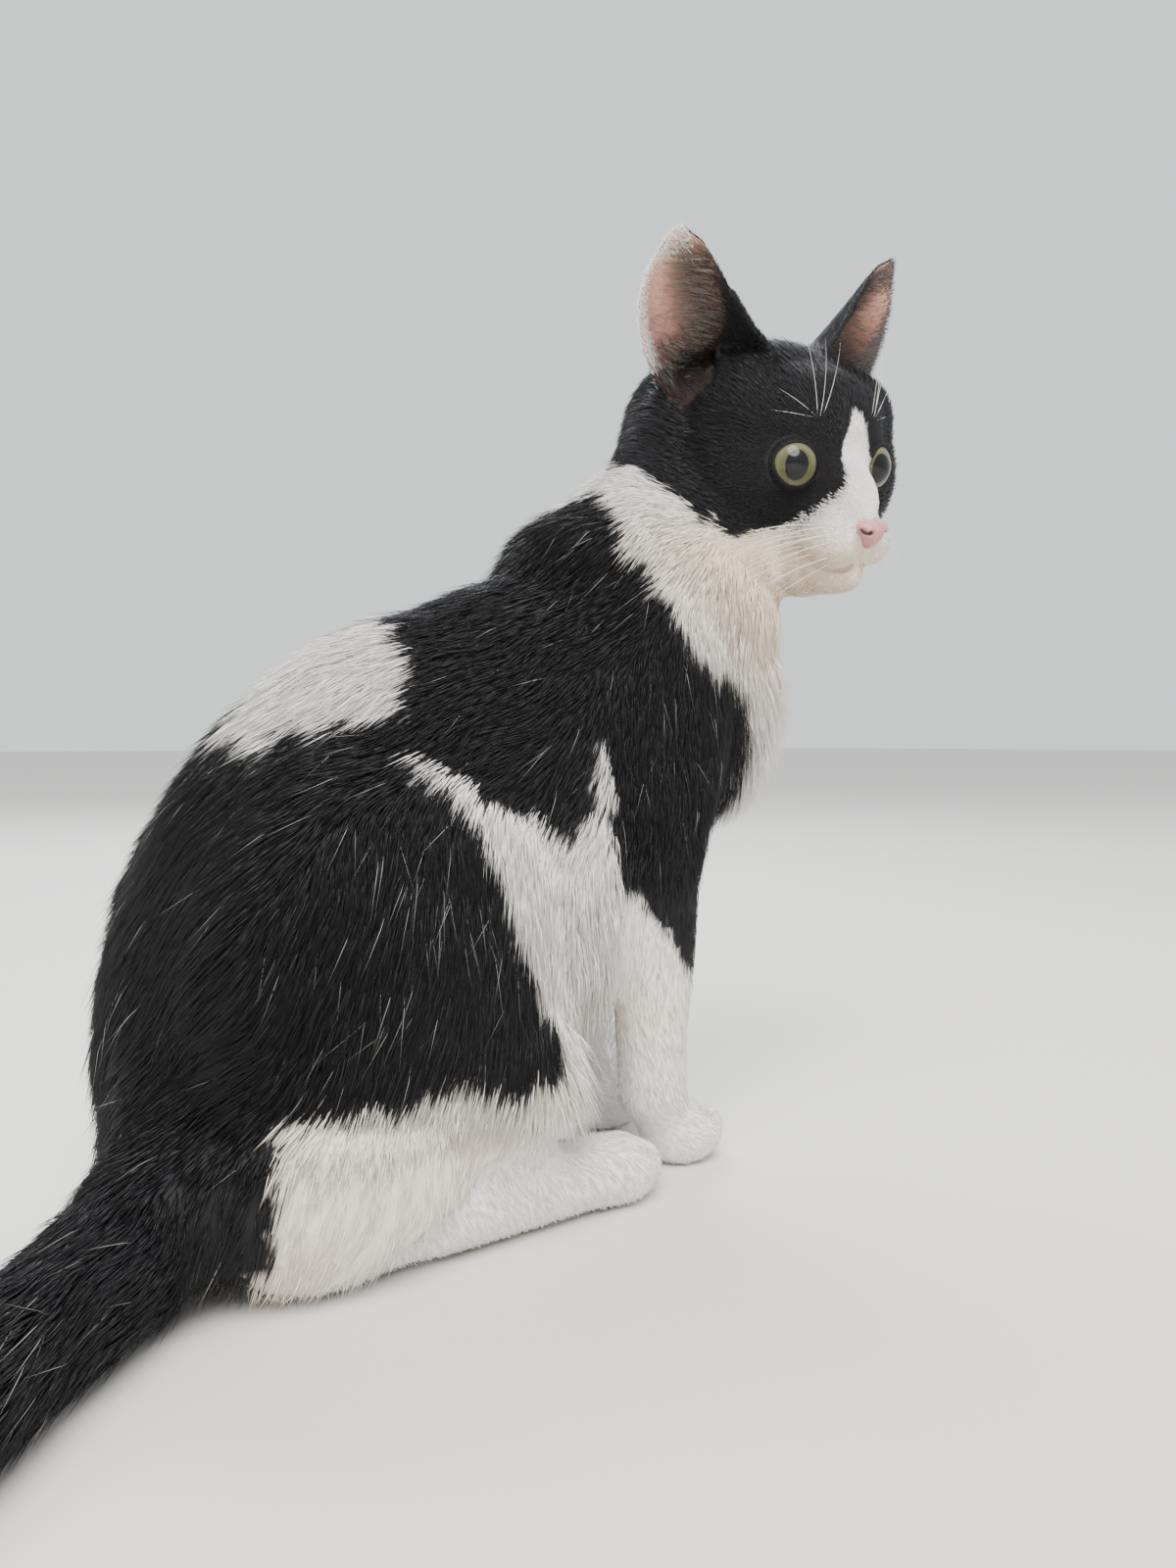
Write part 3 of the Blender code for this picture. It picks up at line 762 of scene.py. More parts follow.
class Skin:
    """The skin's mesh as arrays, with what the coat needs at each of its points."""

    def __init__(self):
        obj = fused_nodes()
        mesh = obj.data
        mesh.calc_loop_triangles()
        points = points_of(mesh)
        triangles = np.empty(len(mesh.loop_triangles) * 3, np.int32)
        mesh.loop_triangles.foreach_get("vertices", triangles)
        self.triangles = triangles.reshape(-1, 3)
        bpy.data.objects.remove(obj)
        self.edges = edges_of(self.triangles)
        self.nodes = nearest_nodes(points)
        self.close = np.ones(len(points))
        coats = np.array([COATS[kind_of(n)] for n in NODES])[self.nodes]
        lie = np.zeros_like(points)
        for i, node in enumerate(NODES):
            here = self.nodes == i
            lie[here] = unit(lie_on(node, points[here]))
        self.coats = spread(coats, self.edges, SPREAD_ROUNDS)
        self.coats[:, [LENGTH, WIDTH]] *= self.shortening(points)[:, None] ** (1, WIDTH_POWER)
        self.lie = spread(lie, self.edges, SPREAD_ROUNDS)
        normals = normals_of(points, self.triangles)
        self.dress(points, normals)
        self.white = white_share(points, self.nodes)
        ear = self.part("ear")
        depth = np.where(ear, COATS["ear"][DEPTH], self.coats[:, DEPTH])
        points = points - normals * (depth * MM)[:, None]
        normals = normals_of(points, self.triangles)
        self.sunk = {}
        self.behind = {}
        points = shape_ears(self, points, normals)
        points = shape_nose(points, self.nodes)
        points = shape_chin(points)
        points = shape_mouth(points, normals)
        points = shape_toes(points, normals, self.nodes)
        points = shape_crease(points, normals, self.part("hind_foot"))
        even = (spread(points, self.edges, SOCKET_ROUNDS) - points) * self.around_eyes(points)
        self.points = shape_eyes(points + even)
        self.normals = normals_of(self.points, self.triangles)
        self.inner_ear = self.find_inner_ear()
        self.bare = self.find_bare()

    def shortening(self, points):
        """Share of its length that the coat keeps near the nose and the eyes."""
        head = in_head(points)
        share = np.interp(np.linalg.norm(head - NOSE_TOP, axis=1), *FROM_NOSE)
        for side in SIDES:
            far = np.linalg.norm(points - middle("eye_" + side), axis=1) / MM
            share = share * np.interp(far, *FROM_EYE)
        share = share * np.interp(mouth_distance(points), *FROM_MOUTH)
        return np.where(self.part(*FACE), share, 1.0)

    def dress(self, points, normals):
        """Longer hair on the haunches, chest and belly and inside the forearms."""
        long = self.part("hind_foot") * smoothstep(*HAIR_ENDS, foot_depth(points))
        self.coats += (np.array(HAUNCH_HAIR) - self.coats) * long[:, None]
        self.lie += (unit(LIES["thigh"]) - self.lie) * long[:, None]
        x, y, z = in_body(points).T
        inwards = smoothstep(*INNER_FACING, -normals[:, 1] * np.sign(y)) * self.part("forearm")
        fringe = smoothstep(*FRINGE_REAR, x) * smoothstep(*FRINGE_FRONT, x)
        fringe *= smoothstep(*FRINGE_TOP, z) * self.part("trunk")
        chest = smoothstep(*CHEST_FRONT, x) * smoothstep(*CHEST_LOW, z)
        chest *= smoothstep(*CHEST_TOP, z) * self.part("trunk", "neck")
        parted = smoothstep(*PARTED, np.linalg.norm(self.lie, axis=1))
        parted *= self.part("head", "ear") & (in_head(points)[:, 0] < 0)
        self.close *= PARTED_CLOSE ** parted
        rises = (INNER_RISE * inwards, FRINGE_RISE * fringe, CHEST_RISE * chest, PARTED_RISE * parted)
        self.coats[:, RISE] += sum(rises)
        self.coats[:, LENGTH] *= INNER_LONG ** inwards * FRINGE_LONG ** fringe * CHEST_LONG ** chest
        self.lie += ((0, 0, -1) - self.lie) * fringe[:, None]
        for node in ("forepaw", "hind_foot"):
            for side in SIDES:
                name = f"{node}_{side}"
                toes = smoothstep(*TOES_BEHIND, (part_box(name)[1][0] - points[:, 0]) / MM)
                toes *= self.nodes == NODES.index(name)
                self.coats[:, LENGTH] *= TOE_SHORT ** toes

    def around_eyes(self, points):
        """1 around the eyes and 0 elsewhere, as a column."""
        share = 0
        for side in SIDES:
            far = np.linalg.norm(points - middle("eye_" + side), axis=1) / MM
            share = share + smoothstep(*EVEN_REACH, far)
        return share[:, None]

    def part(self, *kinds):
        """Which points lie on nodes of some kinds."""
        wanted = [i for i, n in enumerate(NODES) if kind_of(n) in kinds]
        return np.isin(self.nodes, wanted)

    def hollow(self, side):
        """Share of each point in an ear's hollow, and its place on the ear."""
        share, place = hollow_share(self.points, self.normals, side)
        share = np.where(self.part("head"), np.maximum(share, self.sunk[side]), share)
        return np.where(self.behind[side], 0, share), place

    def find_inner_ear(self):
        """How far each point belongs to the hollow side of an ear, from 0 to 1."""
        shares = [self.hollow(side)[0] for side in EAR_RIMS]
        return smoothstep(*INNER_FROM, np.maximum(*shares))

    def find_bare(self):
        """How bare of tufts each point is, from 0 to 1."""
        bare = self.inner_ear.copy()
        for side in SIDES.values():
            far, off, around = eye_angles(self.points, side)
            near = far < EYE_RADIUS + RIM_NEAR
            bare = np.maximum(bare, smoothstep(*RIM_BARE, off - opening(around)) * near)
        bare = np.maximum(bare, smoothstep(*LIP_BARE, mouth_distance(self.points)))
        bare = np.maximum(bare, self.part("nose") * 1.0)
        return bare


# ---------------------------------------------------------------- tufts

# How large a tuft's patch is on the unwrap.
PATCH = 0.003
# A tuft is a blade: a root under the skin, three corners this far along it, and a tip. Its ridge
# is this share of its width high.
WIDEST = 0.38
RIDGE = 0.38
ALONG = np.array((0, WIDEST, WIDEST, WIDEST, 1))
ACROSS = np.array((0, -0.5, 0, 0.5, 0))
BLADE = np.array(((1, 2, 0), (2, 3, 0), (3, 1, 0), (4, 2, 1), (4, 3, 2), (4, 1, 3)))
FLOOR_GAP = 0.2 * MM
ROOT_DEPTH = 0.35
# How far a tuft bends back towards the skin; 1 lays its tip level.
LAY_BACK = 0.88
# A tuft's colour is that of the place this far along it, because its root is covered, and its
# chance of being white is cut off at both ends of the share there.
SEEN, CHANCES = 0.65, (0.1, 0.9)
# Lengths, widths and rises of tufts differ by these shares, and a few tufts rise more.
LENGTHS, WIDTHS, RISES = (0.75, 1.15), (0.75, 1.25), (0.6, 1.4)
FUZZ_SHARE, FUZZ_RISE = 0.10, 1.9
# Ways sway by a wave over the body (mm), with its seed, and by chance.
SWAY, SWAY_LENGTH, SWAY_SEED, SWAY_CHANCE = 0.15, 38, 8, 0.07
# Tufts in a lock, how far their tips are drawn together, and the lengths where that fades in.
LOCK, LOCK_PULL, LOCK_LONG = 12, 0.42, (2, 9)
# Thin pale hairs over the black of the body: their shape against a tuft's, how white they are and
# how they sway; then their chance, least and added in patches (mm, seed), and for which lengths.
STRAY_THIN, STRAY_LONG, STRAY_WHITE, STRAY_SWAY = 0.3, 1.7, 0.5, 0.28
STRAY_CHANCE, STRAY_PATCHES, STRAY_FADE, STRAY_FROM = (0.003, 0.009), (60, 15), (-0.2, 1.0), (6, 9)


class Roots:
    """Where tufts grow, and the size and lie of each."""

    def __init__(self, skin, chosen, closeness, count):
        triangles = skin.triangles[chosen]
        a, b, c = (skin.points[triangles[:, i]] for i in range(3))
        area = np.linalg.norm(np.cross(b - a, c - a), axis=1) / 2 / MM ** 2
        total = np.cumsum(closeness[triangles].mean(1) * area)
        spots = (np.arange(count) + RNG.random(count)) * (total[-1] / count)
        pick = np.minimum(np.searchsorted(total, spots), len(total) - 1)
        u, v = RNG.random(count), RNG.random(count)
        flip = u + v > 1
        u, v = np.where(flip, 1 - u, u), np.where(flip, 1 - v, v)
        self.shares = np.stack([1 - u - v, u, v], 1)
        self.pick = pick
        self.triangles = triangles[pick]
        self.points = self.of(skin.points)
        self.normals = unit(self.of(skin.normals))
        self.coats = self.of(skin.coats)
        self.lie_along(self.of(skin.lie))
        self.nodes = skin.nodes[self.triangles[:, 0]]
        seen = self.points + self.lie * (self.coats[:, [LENGTH]] * SEEN * MM)
        share = white_share(seen, self.nodes)
        self.white = (share > RNG.uniform(*CHANCES, count)) * 1.0
        # How creamy each root's coat is, with painted warm light on the throat.
        self.cream = cream_and_painted_light_share(self.points)

    def lie_along(self, way):
        """Lays the tufts along the skin, as near to a way as it allows."""
        lie = way - self.normals * dot(way, self.normals)[:, None]
        self.lie = unit(lie + 1e-6)

    def of(self, values):
        """Values of the skin's points, taken between the corners of each root's triangle."""
        return np.einsum("ij,ijk->ik", self.shares, values[self.triangles])


def gathered(roots, length, lie):
    """The lie of each tuft, turned so that its tip nears that of its lock if it is long."""
    count = len(roots.points)
    pull = LOCK_PULL * smoothstep(*LOCK_LONG, roots.coats[:, [LENGTH]])
    leaders = RNG.permutation(count)[: max(1, count // LOCK)]
    tree = KDTree(len(leaders))
    for i, p in enumerate(roots.points[leaders].tolist()):
        tree.insert(p, i)
    tree.balance()
    nearest = leaders[np.array([tree.find(p)[1] for p in roots.points.tolist()])]
    tips = roots.points + lie * length[:, None]
    turned = tips + (tips[nearest] - tips) * pull - roots.points
    turned = turned - roots.normals * dot(turned, roots.normals)[:, None]
    return unit(turned + 1e-9)


def stray_hairs(roots):
    """Which tufts are thin pale hairs scattered over the black of the body."""
    patchy = smoothstep(*STRAY_FADE, wobble(in_body(roots.points), *STRAY_PATCHES))
    least, added = STRAY_CHANCE
    chance = (least + added * patchy) * smoothstep(*STRAY_FROM, roots.coats[:, LENGTH])
    return (RNG.random(len(roots.points)) < chance) & (roots.white < 0.5)


def tuft_mesh(name, roots, uv):
    """Each tuft is a closed blade with a ridge, that leaves the skin and lies back along it."""
    count = len(roots.points)
    length = roots.coats[:, LENGTH] * MM * RNG.uniform(*LENGTHS, count)
    width = roots.coats[:, WIDTH] * MM * RNG.uniform(*WIDTHS, count)
    fuzzy = np.where(RNG.random(count) < FUZZ_SHARE, FUZZ_RISE, 1.0)
    rise = np.radians(roots.coats[:, RISE] * RNG.uniform(*RISES, count) * fuzzy)
    sway = SWAY * wobble(in_body(roots.points), SWAY_LENGTH, SWAY_SEED)
    sway = sway + RNG.normal(0, SWAY_CHANCE, count)
    side = np.cross(roots.normals, roots.lie)
    lie = unit(roots.lie + side * sway[:, None])
    lie = gathered(roots, length, lie)
    side = np.cross(roots.normals, lie)
    stray = stray_hairs(roots)
    lie = unit(lie + side * (stray * RNG.normal(0, STRAY_SWAY, count))[:, None])
    width = np.where(stray, width * STRAY_THIN, width)
    length = np.where(stray, length * STRAY_LONG, length)
    white = np.where(stray, STRAY_WHITE, roots.white)

    def spine(t):
        height = np.sin(rise) * (t - 0.5 * LAY_BACK * t * t)
        return roots.points + lie * (length * t)[:, None] + roots.normals * (length * height)[:, None]

    centre, half = spine(WIDEST), (width / 2)[:, None]
    corners = np.stack([
        roots.points - roots.normals * (ROOT_DEPTH * MM), centre - side * half,
        centre + roots.normals * half * RIDGE * 2, centre + side * half, spine(1.0),
    ], 1)
    corners[:, :, 2] = np.maximum(corners[:, :, 2], FLOOR_GAP)
    per = len(ALONG)
    triangles = (BLADE[None] + (np.arange(count) * per)[:, None, None]).reshape(-1, 3)
    mesh = triangle_mesh(name, corners.reshape(-1, 3), triangles)
    set_values(mesh, "white", np.repeat(white, per))
    set_values(mesh, "tone", np.repeat(RNG.random(count), per))
    set_values(mesh, "along", np.tile(ALONG, count))
    set_values(mesh, "cream", np.repeat(roots.cream, per))
    patch = np.stack([ALONG - 0.5, ACROSS], 1) * PATCH
    set_uv(mesh, "OFBake", (uv[:, None] + patch[None]).reshape(-1, 2))
    return mesh


# Coat pieces: name, the kinds of node that they cover, the frame and side that split them, and
# how many tufts they have.
COAT_PIECES = (
    ("face_right", FACE, "head", -1, 27500),
    ("face_left", FACE, "head", 1, 27500),
    ("ears", ("ear",), None, 0, 12000),
    ("neck", ("neck",), None, 0, 25000),
    ("trunk_right", ("trunk", "shoulder"), "body", -1, 29700),
    ("trunk_left", ("trunk", "shoulder"), "body", 1, 29700),
    ("thigh_right", ("thigh",), "body", -1, 18500),
    ("thigh_left", ("thigh",), "body", 1, 18500),
    ("legs", ("forearm", "forepaw", "hind_foot"), None, 0, 31500),
    ("tail", TAIL[1:], None, 0, 21000),
)


def chosen_triangles(skin, kinds, split, side):
    """Which of the skin's triangles a coat piece grows on."""
    wanted = [i for i, n in enumerate(NODES) if kind_of(n) in kinds]
    chosen = np.isin(skin.nodes[skin.triangles[:, 0]], wanted)
    if split:
        points = skin.points[skin.triangles[:, 0]]
        across = in_head(points)[:, 1] if split == "head" else in_body(points)[:, 1]
        chosen &= (across > 0) == (side > 0)
    return chosen


FLAP_ANGLE, FLAP_GAP = math.radians(66), 0.004


def unwrapped(skin, chosen):
    """Places of the corners of the chosen triangles on an unwrap of their own shape."""
    triangles = skin.triangles[chosen]
    used, index = np.unique(triangles, return_inverse=True)
    mesh = triangle_mesh("unwrap", skin.points[used], index.reshape(-1, 3))
    obj = linked("unwrap", mesh)
    bpy.context.view_layer.objects.active = obj
    for other in bpy.context.selected_objects:
        other.select_set(False)
    obj.select_set(True)
    bpy.ops.object.mode_set(mode="EDIT")
    bpy.ops.mesh.select_all(action="SELECT")
    bpy.ops.uv.smart_project(angle_limit=FLAP_ANGLE, island_margin=FLAP_GAP)
    bpy.ops.object.mode_set(mode="OBJECT")
    uv = np.empty(len(mesh.loops) * 2)
    mesh.uv_layers.active.data.foreach_get("uv", uv)
    bpy.data.objects.remove(obj)
    return uv.reshape(-1, 3, 2)


# Hair inside an ear: across the cup and up the ear from and to, how many, length, width and rise
# of a hair, the way it lies (across, up, out), and how white and how creamy it is.
INNER_HAIR = (
    ((-1.0, -0.25), (0.10, 0.80), 380, 10.0, 0.11, 18, (1.0, 0.55, 0.0), 0.22, 0.6),
    ((-0.5, 0.70), (0.12, 0.52), 420, 7.5, 0.11, 13, (0.9, 0.6, 0.0), 0.30, 0.4),
    ((-0.9, 0.80), (0.20, 1.0), 1100, 2.2, 0.10, 8, (0.5, 1.0, 0.0), 0.32, 0.9),
    ((0.78, 1.3), (0.32, 1.0), 1100, 2.4, 0.16, 10, (0.7, 0.8, 0.0), 1.0, 0.0),
    ((-0.6, 1.0), (0.90, 1.1), 400, 2.6, 0.18, 12, (0.2, 1.0, 0.0), 0.95, 0.2),
    ((-1.2, 1.3), (-0.2, 0.30), 1100, 5.0, 0.15, 20, (0.3, 1.0, 0.1), 0.05, 0.5),
)
# How far past its ends a range fades out, and from which share of the hollow hair grows.
HAIR_FADE, HAIR_SHARE = 0.12, 0.3
INNER_SHARE = 0.1


def window(low, high, x):
    """1 between low and high, fading to 0 past them."""
    return smoothstep(low - HAIR_FADE, low, x) * smoothstep(high + HAIR_FADE, high, x)


def inner_hair(skin, chosen):
    """Roots of the thin hair in the hollows of both ears."""
    sets = []
    for side in EAR_RIMS:
        share, place = skin.hollow(side)
        cup = across_cup(place, side)
        for cups, ups, count, length, width, rise, way, white, cream in INNER_HAIR:
            closeness = window(*cups, cup) * window(*ups, place[:, 1]) * (share > HAIR_SHARE)
            roots = Roots(skin, chosen, closeness, count)
            roots.coats[:, LENGTH:] = length, width, rise
            roots.lie_along(ear_way(side, way))
            # The far ear's hair is dimmed as painted shade.
            roots.white[:] = min(white, EAR_PALEST[side])
            roots.cream[:] = cream
            sets.append(roots)
    return joined(sets)


def joined(sets):
    """The roots of several sets as one."""
    whole = sets[0]
    for name in vars(whole):
        setattr(whole, name, np.concatenate([getattr(roots, name) for roots in sets]))
    return whole


def grow_coat(skin, material):
    pieces = []
    for name, kinds, split, side, count in COAT_PIECES:
        chosen = chosen_triangles(skin, kinds, split, side)
        corners = unwrapped(skin, chosen)
        size = skin.coats[:, LENGTH] * skin.coats[:, WIDTH]
        closeness = (1 - skin.bare) * size ** -CROWDING
        roots = Roots(skin, chosen, closeness * skin.close, count)
        pieces.append(coat_piece("coat_" + name, roots, corners, material))
    chosen = chosen_triangles(skin, ("ear", "head"), None, 0)
    chosen &= skin.inner_ear[skin.triangles[:, 0]] > INNER_SHARE
    corners = unwrapped(skin, chosen)
    pieces.append(coat_piece("coat_inner_ears", inner_hair(skin, chosen), corners, material))
    return pieces


def coat_piece(name, roots, corners, material):
    """The tufts of some roots; each keeps its root's place on the unwrap."""
    uv = np.einsum("ij,ijk->ik", roots.shares, corners[roots.pick])
    mesh = tuft_mesh(name, roots, uv)
    mesh.materials.append(material)
    return linked(name, mesh)


# ---------------------------------------------------------------- shader expressions


# The colour inputs and the colour output of a Mix node.
MIX_A, MIX_B, MIX_COLOUR = 6, 7, 2


class Value:
    """A socket whose operators add Math nodes."""

    def __init__(self, tree, socket):
        self.tree = tree
        self.socket = socket

    def node(self, kind, inputs, settings=None, output=0):
        """The output of a new node, after its settings and then its inputs are set."""
        made = self.tree.nodes.new(kind)
        for name, value in (settings or {}).items():
            if name == "stops":
                set_stops(made.color_ramp, value)
            else:
                setattr(made, name, value)
        for name, value in inputs.items():
            if isinstance(value, Value):
                self.tree.links.new(value.socket, made.inputs[name])
            else:
                made.inputs[name].default_value = value
        return Value(self.tree, made.outputs[output])

    def math(self, operation, other=0.0, first=None):
        a = self if first is None else first
        return self.node("ShaderNodeMath", {0: a, 1: other}, {"operation": operation})

    def __add__(self, other):
        return self.math("ADD", other)

    def __rsub__(self, other):
        return self.math("SUBTRACT", self, first=other)

    def __mul__(self, other):
        return self.math("MULTIPLY", other)

    def between(self, low, high):
        """0 up to low, 1 from high on, and smooth between them."""
        inputs = {"Value": self, "From Min": low, "From Max": high}
        return self.node("ShaderNodeMapRange", inputs, {"interpolation_type": "SMOOTHSTEP"})

    def blend(self, a, b):
        """Colour a where this is 0 and colour b where it is 1."""
        inputs = {0: self, MIX_A: a, MIX_B: b}
        return self.node("ShaderNodeMix", inputs, {"data_type": "RGBA"}, MIX_COLOUR)


def set_stops(ramp, stops):
    while len(ramp.elements) < len(stops):
        ramp.elements.new(1.0)
    for element, (position, colour) in zip(ramp.elements, stops):
        element.position = position
        element.color = colour


def new_material(name, **constants):
    """A material, its surface shader, and a Value to start expressions from."""
    material = bpy.data.materials.new(name)
    material.use_nodes = True
    tree = material.node_tree
    surface = tree.nodes["Principled BSDF"]
    for socket, value in constants.items():
        surface.inputs[socket.replace("_", " ")].default_value = value
    places = tree.nodes.new("ShaderNodeTexCoord")
    return material, surface, Value(tree, places.outputs["Object"])


def feed(surface, **links):
    for name, value in links.items():
        value.tree.links.new(value.socket, surface.inputs[name.replace("_", " ")])


def attribute(value, name):
    return value.node("ShaderNodeAttribute", {}, {"attribute_name": name}, "Fac")


def noise(value, scale, detail=2.0, roughness=0.5):
    inputs = {"Vector": value, "Scale": scale, "Detail": detail, "Roughness": roughness}
    return value.node("ShaderNodeTexNoise", inputs)


def bump(value, height, distance, strength=1.0):
    inputs = {"Height": height, "Distance": distance, "Strength": strength}
    return value.node("ShaderNodeBump", inputs)


# Black hair, and the paler bluish colour it takes towards its tip and on tufts of random tone: partly
# the hair's own colour, partly painted sheen.
BLACK_FUR, BLACK_TIP_AND_PAINTED_SHEEN = (0.0055, 0.0055, 0.0062, 1), (0.024, 0.024, 0.027, 1)
WHITE_FUR, WHITE_SHADE = (0.88, 0.87, 0.85, 1), (0.72, 0.69, 0.65, 1)
# The creamy tint of the white coat, which on the throat is painted warm light.
CREAM_FUR_AND_PAINTED_LIGHT = (0.86, 0.73, 0.55, 1)
PEACH_SKIN, PINK_SKIN = (0.66, 0.37, 0.27, 1), (0.56, 0.24, 0.20, 1)
# Dark of the lids and of the ears' inner lining, and painted shade inside the ears.
DARK_RIM_AND_PAINTED_SHADE = (0.012, 0.010, 0.010, 1)
# The lips' colour, and a darker line at the bottom of the mouth's groove: partly the lips' own
# colour, partly painted crease shade.
LIP_PINK, LIP_DARK_AND_PAINTED_SHADE = (0.35, 0.20, 0.16, 1), (0.09, 0.05, 0.04, 1)
LIP_SKIN, LIP_LINE = (0.05, 0.5), (0.60, 0.88)
NOSE_PINK, NOSE_DEEP = (0.56, 0.25, 0.24, 1), (0.48, 0.20, 0.19, 1)
# Painted shade in the nostrils' holes and slits.
NOSTRIL_PAINTED_SHADE = (0.05, 0.015, 0.015, 1)
PUPIL_BLACK, SPOKE_DARK = (0.002, 0.002, 0.003, 1), (0.05, 0.05, 0.022, 1)
EYE_RIM = (0.016, 0.011, 0.009, 1)
# The iris from its middle to its edge.
IRIS = (
    (0.0, (0.05, 0.052, 0.022, 1)), (0.62, (0.085, 0.088, 0.037, 1)),
    (0.82, (0.135, 0.132, 0.064, 1)), (0.93, (0.10, 0.094, 0.046, 1)),
    (1.0, (0.022, 0.018, 0.012, 1)),
)
WHISKER_PALE, WHISKER_SHADE = (0.86, 0.84, 0.80, 1), (0.74, 0.71, 0.66, 1)
# How far the white coat darkens towards WHITE_SHADE by the tuft's own random tone, and as painted
# shade towards its root.
SHADE_SHARE = 0.35
# Roughness of black fur and what white adds, of the skin likewise, and of the nose's two tones.
FUR_ROUGH, SKIN_ROUGH, NOSE_ROUGH = (0.38, 0.24), (0.6, 0.1), (0.36, 0.2)
# Patterns per metre; for a bump also its detail, height (m) and strength.
FLESH_SCALE, MOTTLE_SCALE = 260, 700
GRAIN_SCALE, GRAIN_DETAIL, GRAIN_HEIGHT, GRAIN_STRENGTH = 1500, 3.0, 0.0003, 0.4
PEBBLE_SCALE, PEBBLE_HEIGHT, PEBBLE_STRENGTH = 2600, 0.00025, 0.35
# How far the ear's peach colour follows its place and how far the pattern of the flesh; and the
# values over which the nose's two pinks and the painted shade of its nostrils fade in.
PEACH_PLACED, PEACH_MOTTLED = 0.8, 0.2
MOTTLE_FADE, PIT_FADE = (0.3, 0.75), (0.25, 0.8)


def coat_colour(place):
    """Colour of the coat from its attributes, the same on the skin and on the tufts."""
    white = attribute(place, "white")
    tone = attribute(place, "tone")
    along = attribute(place, "along")
    cream = attribute(place, "cream")
    # Black hair pales towards its tip and on tufts of random tone, partly as painted sheen.
    black = (tone * 0.5 + along * 0.5).blend(BLACK_FUR, BLACK_TIP_AND_PAINTED_SHEEN)
    # White hair darkens on tufts of random tone, and towards its root with painted shade deep in the
    # coat.
    bright = (tone * SHADE_SHARE + (1 - along) * SHADE_SHARE).blend(WHITE_FUR, WHITE_SHADE)
    # Then a creamy tint: on the lower legs, and on the throat as painted warm light.
    bright = cream.blend(bright, CREAM_FUR_AND_PAINTED_LIGHT)
    return white.blend(black, bright), white


def coat_material():
    material, surface, place = new_material("coat", Specular_IOR_Level=0.22)
    colour, white = coat_colour(place)
    feed(surface, Base_Color=colour, Roughness=white * FUR_ROUGH[1] + FUR_ROUGH[0])
    return material


def skin_material():
    material, surface, place = new_material("skin", Specular_IOR_Level=0.12)
    colour, white = coat_colour(place)
    flesh = noise(place, FLESH_SCALE) * PEACH_MOTTLED
    peach = attribute(place, "peach") * PEACH_PLACED + flesh
    colour = attribute(place, "pink").blend(colour, peach.blend(PINK_SKIN, PEACH_SKIN))
    lip = attribute(place, "lip")
    # The lips darken along the bottom of the mouth's groove, partly with painted crease shade.
    line = lip.between(*LIP_LINE).blend(LIP_PINK, LIP_DARK_AND_PAINTED_SHADE)
    colour = lip.between(*LIP_SKIN).blend(colour, line)
    # Darkens the lids and the ears' inner lining, and paints shade low inside the ears and over the
    # far ear.
    colour = attribute(place, "dark").blend(colour, DARK_RIM_AND_PAINTED_SHADE)
    grain = noise(place, GRAIN_SCALE, GRAIN_DETAIL)
    grain = bump(place, grain, GRAIN_HEIGHT, GRAIN_STRENGTH)
    feed(surface, Base_Color=colour, Roughness=white * SKIN_ROUGH[1] + SKIN_ROUGH[0], Normal=grain)
    return material


# ---------------------------------------------------------------- lids, eyes, nose, whiskers

LID_STEPS = 96
# The bare skin has the colour of a tuft of middling tone, this far along it, with that much of the
# coat's painted root shade and painted sheen.
SKIN_TONE, SKIN_ALONG = 0.5, 0.3
# Across a lid: angle past the gap (degrees) and distance from the eyeball's middle beyond it (mm).
LID_PROFILE = (
    (0.5, -1.0), (0.0, 0.10), (0.6, 0.36), (1.8, 0.52), (3.4, 0.48), (6.0, 0.10), (10.0, -0.6),
    (16.0, -1.6), (12.0, -2.2), (6.0, -2.0),
)
EYE_RINGS, EYE_SPOKES = 72, 96
CORNEA_EDGE = math.radians(49)
CORNEA_RISE = 0.5
# The iris ends at this angle; the pupil's height is a share of it, and the pupil is this much
# taller than wide.
IRIS_EDGE = math.radians(51)
PUPIL_SHARE, PUPIL_SLIM, PUPIL_SOFT = 0.63, 1.34, 0.03
IRIS_END = (0.97, 1.04)
# Spokes of the iris: how many waves around it and out along it, and where they are dark.
SPOKES_ROUND, SPOKES_OUT, SPOKES_DARK = 9.0, 2.2, (0.35, 0.7)
# Scale, detail and roughness of the noise that makes them.
SPOKES_NOISE = (3.0, 3.0, 0.6)


def around_eye(axes, off, around, far):
    """Points about an eye from their angles off and around its axis and their distance."""
    centre, out, level, up = axes
    ring = level * np.cos(around)[..., None] + up * np.sin(around)[..., None]
    way = out * np.cos(off)[..., None] + ring * np.sin(off)[..., None]
    return centre + way * far[..., None] * MM


def band_faces(rows, columns, close_rows=True):
    """Triangles between rows of points whose columns run round in a ring."""
    faces = []
    for i in range(rows if close_rows else rows - 1):
        for j in range(columns):
            a, b = i * columns + j, i * columns + (j + 1) % columns
            c, d = (b + columns) % (rows * columns), (a + columns) % (rows * columns)
            faces += [(a, b, c), (a, c, d)]
    return faces


def lid_ring(side):
    around = np.linspace(0, 2 * math.pi, LID_STEPS, endpoint=False)
    gap = opening(around)
    rows = []
    for past, rise in LID_PROFILE:
        far = np.full(LID_STEPS, EYE_RADIUS + rise)
        rows.append(around_eye(eye_axes(side), gap + math.radians(past), around, far))
    faces = np.array(band_faces(len(rows), LID_STEPS))
    return np.concatenate(rows), faces if side < 0 else faces[:, ::-1]


def outward(points, triangles):
    """The triangles, turned round if they face into the shape."""
    a, b, c = (points[triangles[:, i]] for i in range(3))
    return triangles if dot(a, np.cross(b, c)).sum() > 0 else triangles[:, ::-1]


